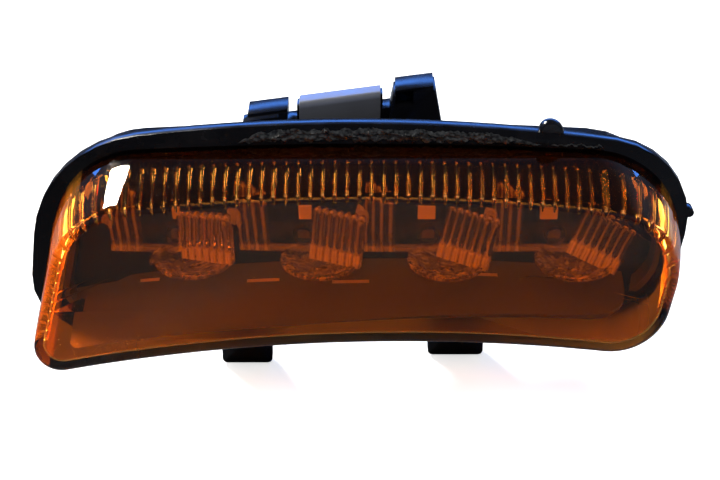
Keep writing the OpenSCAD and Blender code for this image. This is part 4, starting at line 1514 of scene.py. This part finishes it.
@dataclass(frozen=True)
class BezelPlastic:
    """The bezel's dark plastic: satin on the floor in front, polished on the back wall behind the optics, with
    painted glints in the floor's slots.
    """

    name: str = "bezel_plastic"
    floor: Colour = (0.05, 0.054, 0.055)
    floor_worn: Colour = (0.064, 0.068, 0.066)
    wall: Colour = (0.005, 0.005, 0.007)
    # Painted glint: the pale colour painted in the floor's slots, standing in for light caught on their edges.
    edge: Colour = (0.62, 0.56, 0.5)
    specular: float = 0.4
    satin: float = 0.42
    polish: float = 0.2
    grain_mm: float = 0.02
    wall_face_mm: float = 2.9
    wall_low_mm: float = 4.0
    front_mm: float = -17.8
    tilt: float = 13.7
    slot_width_mm: float = 1.0
    slots: tuple[tuple[float, float, float], ...] = (
        (-51.4, 14.2, 4.8), (-23.5, 11.6, 7.6), (-2.7, 10.3, 8.6), (29.4, 13.2, 5.2))

    def build(self) -> bpy.types.Material:
        """Makes the material.

        Returns:
            The material.
        """
        g = Graph(self.name)
        skin = g.shader(Specular_IOR_Level=self.specular)
        behind = g.spread(g.axis("Y"), (self.wall_face_mm - 0.5) * MM, self.wall_face_mm * MM, 0.0, 1.0)
        high = g.spread(g.axis("Z"), self.wall_low_mm * MM, (self.wall_low_mm + 1.0) * MM, 0.0, 1.0)
        back = g.math("MAXIMUM", behind, high)
        stain = g.noise(70.0, 4.0, 0.6, (0.4, 1.0, 1.0))
        floor = g.blend(g.spread(stain, 0.35, 0.7, 0.0, 1.0), self.floor, self.floor_worn)
        # The slots are painted in the pale edge colour as painted glints.
        whole = g.blend(self.slot_glints(g), g.blend(back, floor, self.wall), self.edge)
        g.join(whole, skin.inputs["Base Color"])
        g.join(g.spread(back, 0.0, 1.0, self.satin, self.polish), skin.inputs["Roughness"])
        g.join(g.bump(g.noise(1800.0, 3.0), self.grain_mm * MM, 0.5), skin.inputs["Normal"])
        return g.material

    def slot_glints(self, g: Graph) -> Any:
        """Finds the floor's slots, which are painted pale as a painted glint of light on their edges.

        A point is in a slot if the larger of its two distances from the slot's middle, along the
        lamp and along the slanting floor, each as a share of half the slot's size, is less than one.

        Args:
            g: the material's graph.

        Returns:
            A socket that is 1 in the slots.
        """
        lean = math.radians(self.tilt)
        start = self.front_mm * math.cos(lean)
        along = g.along((0.0, math.cos(lean), math.sin(lean)))
        found: Any = 0.0
        for x, y, length in self.slots:
            sides = [self.distance(g, g.axis("X"), x, length / 2),
                     self.distance(g, along, start + y, self.slot_width_mm / 2)]
            inside = g.spread(g.math("MAXIMUM", *sides), 0.98, 1.04, 1.0, 0.0)
            found = g.math("MAXIMUM", found, inside)
        return found

    def distance(self, g: Graph, value: Any, middle: float, half: float) -> Any:
        """Measures how far a value lies from a middle, as a share of half a width.

        Args:
            g: the material's graph.
            value: the value's socket, in metres.
            middle: the middle, in millimetres.
            half: half the width, in millimetres.

        Returns:
            The share's socket.
        """
        away = g.math("ABSOLUTE", g.math("SUBTRACT", value, middle * MM))
        return g.math("DIVIDE", away, half * MM)


class Finishes:
    """Every material of the lamp, made once."""

    def __init__(self) -> None:
        """Builds the materials."""
        self.housing = MouldedPlastic().build()
        self.bezel = BezelPlastic().build()
        self.amber = AmberAcrylic().build()
        self.clear = ClearAcrylic().build()
        self.steel = Metal("spring_steel", (0.33, 0.34, 0.38), roughness=0.36, grain=(1.0, 1.0, 1.6),
                           grain_scale=1500.0, depth_mm=0.05, bare=0.5).build()
        self.brass = Metal("pin_brass", (0.72, 0.56, 0.3), roughness=0.25).build()
        self.can = Metal("capacitor_can", (0.75, 0.76, 0.78), roughness=0.3).build()
        self.zinc = Metal("screw_zinc", (0.55, 0.56, 0.58), roughness=0.28).build()
        self.rubber = DullStuff("buffer_rubber", (0.006, 0.006, 0.008), (0.012, 0.012, 0.014),
                                roughness=0.1, scale=500.0).build()
        self.foam = DullStuff("torn_foam", (0.004, 0.004, 0.004), (0.11, 0.115, 0.115),
                              roughness=0.4, depth_mm=0.4).build()
        self.mask = DullStuff("solder_mask", (0.02, 0.12, 0.05), (0.015, 0.09, 0.04),
                              roughness=0.35, scale=300.0, depth_mm=0.01).build()
        self.chip = DullStuff("chip_plastic", (0.015, 0.015, 0.016), (0.03, 0.03, 0.032),
                              roughness=0.5, scale=2500.0, depth_mm=0.01).build()
        self.package = DullStuff("diode_package", (0.3, 0.26, 0.15), (0.24, 0.2, 0.1),
                                 roughness=0.35, depth_mm=0.01).build()
        self.membrane = DullStuff("breather", (0.12, 0.125, 0.13), (0.16, 0.165, 0.17),
                                  roughness=0.8, scale=4000.0).build()


def stand_for(piece: bpy.types.Object, node: str) -> bpy.types.Object:
    """Puts a piece in a CAD node's place.

    Args:
        piece: the new piece.
        node: the node that it stands for.

    Returns:
        The same piece.
    """
    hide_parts(node)
    return piece


@dataclass
class LampBody:
    """The housing, the spring clip, the soft knob and the vent."""

    finishes: Finishes
    edge_mm: float = 0.22
    clip_edge_mm: float = 0.1

    def build(self) -> list[bpy.types.Object]:
        """Makes the rounded housing and clip over their nodes, and dresses the rest.

        Returns:
            The new pieces.
        """
        shell = rounded_copy("housing", "moulded_housing", self.finishes.housing, self.edge_mm)
        clip = rounded_copy("spring_clip", "bent_clip", self.finishes.steel, self.clip_edge_mm, 1)
        knob = SoftKnob().build(self.finishes.rubber)
        dress("vent_patch", self.finishes.membrane)
        return [stand_for(shell, "housing"),
                stand_for(clip, "spring_clip"),
                stand_for(knob, "top_buffer")]


@dataclass
class SoftKnob:
    """The domed stop on the flange's upper edge, cut flat in front and behind."""

    x: float = 42.4
    radius: float = 2.85
    front: float = -3.0
    rim: float = 0.3
    shrink: float = 0.12
    dent: float = 0.3

    def build(self, material: bpy.types.Material) -> bpy.types.Object:
        """Makes the knob.

        At each depth the outline is a half circle, as wide as a ball of the knob's radius is there,
        on a flat base along the flange's edge. Near the two faces it shrinks along a quarter circle,
        which rounds the edge, and a slanting dent is pressed into the right half of the front.

        Args:
            material: the soft stuff.

        Returns:
            The piece.
        """
        edge = float(FLANGE.top.height_at(self.x))
        turn = np.linspace(0, np.pi, 49)
        across = np.linspace(-1, 1, 17)[1:-1]
        outline = np.concatenate([direction(np.degrees(turn)), np.stack([across, 0 * across], axis=-1)])
        outline *= self.radius
        rings = []
        for y, shrink in self.steps():
            share = math.sqrt(1 - ((y - self.front / 2) / self.radius) ** 2) - shrink
            x = self.x + outline[:, 0] * share
            height = outline[:, 1] * share + FLANGE.top.height_at(x)
            dent = smooth_step(-0.5, 1.6, outline[:, 0]) * smooth_step(self.front * 0.6, self.front, y)
            rings.append(np.stack([x, y + self.dent * dent, np.minimum(height, edge + self.radius)], axis=-1))
        count = len(outline)
        faces = grid_faces(len(rings), count, True, flip=True).tolist()
        faces.append(list(range(count)))
        faces.append([v + (len(rings) - 1) * count for v in range(count)][::-1])
        return outward(make_piece("soft_knob", np.concatenate(rings), faces, material, 60.0))

    def steps(self) -> list[tuple[float, float]]:
        """Gives each ring's depth and how much it shrinks there.

        Both change along a quarter circle near the back face and near the front face, and nothing
        shrinks between them.

        Returns:
            Depths and shares, from the back face to the front.
        """
        quarter = [(self.rim * (1 - math.cos(a)), self.shrink * (1 - math.sin(a)))
                   for a in np.radians(np.linspace(0, 90, 7))]
        back = [(-depth, share) for depth, share in quarter]
        front = [(self.front + depth, share) for depth, share in quarter[::-1]]
        middle = np.linspace(-2 * self.rim, self.front + 2 * self.rim, 7)
        return back + [(float(y), 0.0) for y in middle] + front


def outward(piece: bpy.types.Object) -> bpy.types.Object:
    """Turns a closed piece's faces outward.

    Args:
        piece: the piece.

    Returns:
        The same piece.
    """
    body = bmesh.new()
    body.from_mesh(piece.data)
    bmesh.ops.recalc_face_normals(body, faces=body.faces)
    body.to_mesh(piece.data)
    body.free()
    piece.data.update()
    return piece


@dataclass
class BezelMoulding:
    """The bezel, with its floor's left end drawn out nearer to the lens."""

    end: float = -64.5
    bend: float = -63.2
    front: float = -17.0
    back: float = 3.0
    floor_top: float = -14.0
    reach: tuple[float, float] = (1.65, 2.85)
    slope: float = 0.19
    slack: float = 0.05

    def build(self, material: bpy.types.Material) -> bpy.types.Object:
        """Makes the bezel.

        A point of the floor's left end moves out by a reach that grows evenly from the front to the
        back wall, and sinks by the slope of the floor's arch there times that reach.

        Args:
            material: the bezel's finish.

        Returns:
            The piece.
        """
        mesh = joined_copy("inner_bezel")
        points = np.zeros(3 * len(mesh.vertices))
        mesh.vertices.foreach_get("co", points)
        points = points.reshape(-1, 3) / MM
        share = np.clip((points[:, 1] - self.front) / (self.back - self.front), 0.0, 1.0)
        reach = self.reach[0] + (self.reach[1] - self.reach[0]) * share
        x, y, z = points.T
        floor = (y < self.back + self.slack) & (z < self.floor_top) & (x > self.end - self.slack)
        moved = np.where(floor, reach * smooth_step(self.bend, self.end, points[:, 0]), 0.0)
        points[:, 0] -= moved
        points[:, 2] -= self.slope * moved
        mesh.vertices.foreach_set("co", (points * MM).reshape(-1))
        mesh.name = "stepped_bezel"
        return finish_mesh(mesh.name, mesh, material, crease=0.0)


@dataclass
class LampInside:
    """The bezel and the optics, and the electronics, which keep their CAD shapes."""

    finishes: Finishes

    def build(self) -> list[bpy.types.Object]:
        """Makes the optics and dresses the other nodes.

        Returns:
            The new pieces.
        """
        f = self.finishes
        made = [stand_for(BezelMoulding().build(f.bezel), "inner_bezel")]
        for number in range(4):
            guide = LightGuide(number).build(f.clear)
            made.append(stand_for(guide, f"optic_{number + 1}"))
            dress(f"led_{number + 1}", f.package)
        board = {"circuit_board": f.mask, "resistors": f.chip, "driver_chip": f.chip, "diode": f.chip,
                 "capacitor": f.can, "terminal_pins": f.brass, "board_screws": f.zinc}
        for node, material in board.items():
            dress(node, material)
        return made


# The studio


class Ray(Enum):
    """The kinds of ray that a light can be hidden from."""

    DIFFUSE = "visible_diffuse"
    GLOSSY = "visible_glossy"
    TRANSMISSION = "visible_transmission"


@dataclass(frozen=True)
class Softbox:
    """One rectangular light: its place, aim and size in metres, watts, colour and turn about its aim."""

    name: str
    place: tuple[float, float, float]
    size: tuple[float, float]
    power: float
    colour: Colour
    hidden: tuple[Ray, ...] = ()
    aim: tuple[float, float, float] = (0.0, 0.0, 0.0)
    roll: float = 0.0

    def hang(self) -> None:
        """Makes the light, turned so that it faces its aim."""
        data = bpy.data.lights.new(self.name, "AREA")
        data.shape = "RECTANGLE"
        data.size, data.size_y = self.size
        data.energy = self.power
        data.color = self.colour
        lamp = bpy.data.objects.new(self.name, data)
        way = Vector(self.aim) - Vector(self.place)
        lamp.location = self.place
        turn = way.to_track_quat("-Z", "Y").to_matrix() @ Matrix.Rotation(math.radians(self.roll), 3, "Z")
        lamp.rotation_euler = turn.to_euler()
        for ray in self.hidden:
            setattr(lamp, ray.value, False)
        bpy.context.scene.collection.objects.link(lamp)


DAYLIGHT = (1.0, 0.96, 0.88)


@dataclass
class Studio:
    """A pale floor, soft light and a camera at the photograph's viewing angle."""

    elevation: float = 29.0
    distance: float = 340.0
    target: tuple[float, float, float] = (0.0, -3.0, 0.0)
    lens_mm: float = 74.0
    sensor_mm: float = 36.0
    near_m: float = 0.01
    floor_z: float = -37.6
    floor_half: float = 2600.0
    floor_glow: float = 0.72
    card_half: float = 900.0
    card_lift: float = 0.4
    card_fade_m: tuple[float, float] = (-0.12, -0.045)
    card_left: Colour = (0.07, 0.08, 0.09)
    card_colour: Colour = (0.24, 0.27, 0.3)
    tent_radius: float = 2400.0
    tent_grid: tuple[int, int] = (14, 48)
    tent_glow: float = 0.05
    sheen: tuple[float, float] = (0.02, 0.22)
    sheen_rise_m: tuple[float, float] = (0.1, 1.0)
    sheen_fall_m: tuple[float, float] = (1.25, 1.6)
    sheen_above: float = 0.12
    lights: tuple[Softbox, ...] = (
        Softbox("sky", (0.0, 1.1, 0.47), (1.9, 0.26), 12.0, (0.07, 0.27, 1.0)),
        Softbox("sun", (-0.45, 0.69, 0.56), (0.22, 0.1), 9.0, DAYLIGHT, (Ray.GLOSSY,)),
        Softbox("window", (-0.47, 0.51, 0.7), (0.22, 0.32), 22.0, DAYLIGHT, (Ray.DIFFUSE, Ray.TRANSMISSION),
                roll=-56.7),
        Softbox("back_glow", (0.0, 1.25, 0.5), (2.6, 0.36), 12.0, (1.0, 0.5, 0.24), (Ray.DIFFUSE, Ray.GLOSSY)),
        Softbox("fill", (0.1, -0.55, 1.05), (0.9, 0.5), 6.0, (1.0, 0.98, 0.95), (Ray.GLOSSY,)),
        Softbox("left_bounce", (-0.32, 0.1, -0.01), (0.3, 0.06), 1.7, (1.0, 0.85, 0.7), (Ray.GLOSSY,),
                aim=(-0.06, -0.01, 0.0)),
        Softbox("right_bounce", (0.32, 0.12, -0.01), (0.3, 0.06), 0.7, (0.9, 0.95, 1.0), (Ray.GLOSSY,),
                aim=(0.06, -0.01, 0.0)))

    def camera(self) -> None:
        """Puts the camera at its distance from the target, above the front, looking at it."""
        e = math.radians(self.elevation)
        ahead = Vector((0.0, math.cos(e), -math.sin(e)))
        data = bpy.data.cameras.new("camera")
        data.lens = self.lens_mm
        data.sensor_width = self.sensor_mm
        data.clip_start = self.near_m
        eye = bpy.data.objects.new("camera", data)
        eye.location = (Vector(self.target) - self.distance * ahead) * MM
        eye.rotation_euler = (math.radians(90.0) - e, 0.0, 0.0)
        bpy.context.scene.collection.objects.link(eye)
        bpy.context.scene.camera = eye

    def level_square(self, name: str, half: float, height: float,
                     material: bpy.types.Material) -> bpy.types.Object:
        """Lays a level square that isn't part of the lamp.

        Args:
            name: its name.
            half: half its side.
            height: its height.
            material: its finish.

        Returns:
            The square.
        """
        corners = np.array([[-half, -half, 0], [half, -half, 0], [half, half, 0], [-half, half, 0]], float)
        corners[:, 2] = height
        square = make_piece(name, corners, [(0, 1, 2, 3)], material)
        return square

    def floor(self) -> None:
        """Makes the pale floor.

        A little light is added to what the camera sees of it, so that its lit part is white.
        """
        g = Graph("pale_floor")
        skin = g.shader(Roughness=0.9, Specular_IOR_Level=0.1, Emission_Color=(*[self.floor_glow] * 3, 1.0))
        g.join(g.blend(g.noise(6.0), (0.86, 0.86, 0.86), (0.88, 0.88, 0.88)), skin.inputs["Base Color"])
        g.join(g.add("LightPath").outputs["Is Camera Ray"], skin.inputs["Emission Strength"])
        self.level_square("floor", self.floor_half, self.floor_z, g.material)

    def card(self) -> None:
        """Lays a dark card under the lamp, for its glossy sides to mirror and the lens to show.

        It is darker towards the left. The camera and the lamps' rays don't meet it.
        """
        g = Graph("dark_card")
        skin = g.shader(Roughness=0.9, Specular_IOR_Level=0.1)
        shade = g.spread(g.axis("X"), *self.card_fade_m, 0.0, 1.0)
        g.join(g.blend(shade, self.card_left, self.card_colour), skin.inputs["Base Color"])
        hide(self.level_square("dark_card", self.card_half, self.floor_z + self.card_lift, g.material))

    def tent(self) -> None:
        """Puts a dark tent round the studio, in place of the dark surroundings that the photo's gloss shows.

        It glows faintly, and more for glossy rays at a middle height, as a sky above a dark yard does.
        The camera and the lamps' rays don't meet it. Its half ball is a grid of rings.
        """
        g = Graph("dark_tent")
        glow = g.add("Emission")
        sheen = g.math("MULTIPLY", g.spread(g.axis("Z"), *self.sheen_rise_m, *self.sheen),
                       g.spread(g.axis("Z"), *self.sheen_fall_m, 1.0, self.sheen_above))
        glossy = g.add("LightPath").outputs["Is Glossy Ray"]
        g.join(g.math("MULTIPLY_ADD", glossy, sheen, self.tent_glow), glow.inputs["Strength"])
        g.join(g.blend(g.noise(1.5, 2.0), (0.4, 0.55, 1.0), (0.55, 0.7, 1.0)), glow.inputs["Color"])
        g.join(glow.outputs["Emission"], g.output.inputs["Surface"])
        rings, turns = self.tent_grid
        rise = np.linspace(0, math.pi / 2 - 0.01, rings)[:, None]
        turn = np.arange(turns) / turns * 2 * math.pi
        ball = [np.cos(rise) * np.cos(turn), np.cos(rise) * np.sin(turn), np.sin(rise) + 0 * turn]
        points = np.stack(ball, axis=-1).reshape(-1, 3) * self.tent_radius
        points[:, 2] += self.floor_z
        faces = grid_faces(rings, turns, True, flip=True).tolist()
        faces.append(list(range((rings - 1) * turns, rings * turns))[::-1])
        wall = make_piece("dark_tent", points, faces, g.material)
        hide(wall)

    def world(self) -> None:
        """Sets a world that the camera, metal and glass see as white, and that gives no other light."""
        world = bpy.data.worlds.new("studio")
        bpy.context.scene.world = world
        world.use_nodes = True
        tree = world.node_tree
        tree.nodes.clear()
        out = tree.nodes.new("ShaderNodeOutputWorld")
        path = tree.nodes.new("ShaderNodeLightPath")
        white = tree.nodes.new("ShaderNodeBackground")
        seen = tree.nodes.new("ShaderNodeMath")
        more = tree.nodes.new("ShaderNodeMath")
        seen.operation = more.operation = "MAXIMUM"
        white.inputs["Color"].default_value = (1.0, 1.0, 1.0, 1.0)
        for source, target in (
                (path.outputs["Is Camera Ray"], seen.inputs[0]),
                (path.outputs["Is Glossy Ray"], seen.inputs[1]),
                (seen.outputs["Value"], more.inputs[0]),
                (path.outputs["Is Transmission Ray"], more.inputs[1]),
                (more.outputs["Value"], white.inputs["Strength"]),
                (white.outputs["Background"], out.inputs["Surface"])):
            tree.links.new(source, target)
        bpy.context.scene.view_settings.view_transform = "Standard"

    def build(self) -> None:
        """Sets up the camera, the floor, the card, the tent, the lights and the world."""
        self.camera()
        self.floor()
        self.card()
        self.tent()
        for light in self.lights:
            light.hang()
        self.world()


def hide(thing: bpy.types.Object) -> None:
    """Hides a staged thing from the camera and lets the lamps' rays through it."""
    thing.visible_camera = False
    thing.visible_shadow = False


def main() -> None:
    """Builds the studio and the lamp."""
    logging.basicConfig(level=logging.INFO, format="%(name)s: %(message)s")
    Studio().build()
    finishes = Finishes()
    pieces = [stand_for(FlutedLens().build(finishes.amber), "lens"),
              stand_for(TornSeal().build(finishes.foam), "gasket_remnant")]
    pieces += LampBody(finishes).build()
    pieces += LampInside(finishes).build()
    for piece in pieces:
        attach(piece, "root")
        LOG.info("%s: %d faces", piece.name, len(piece.data.polygons))


if __name__ == "__main__":
    main()
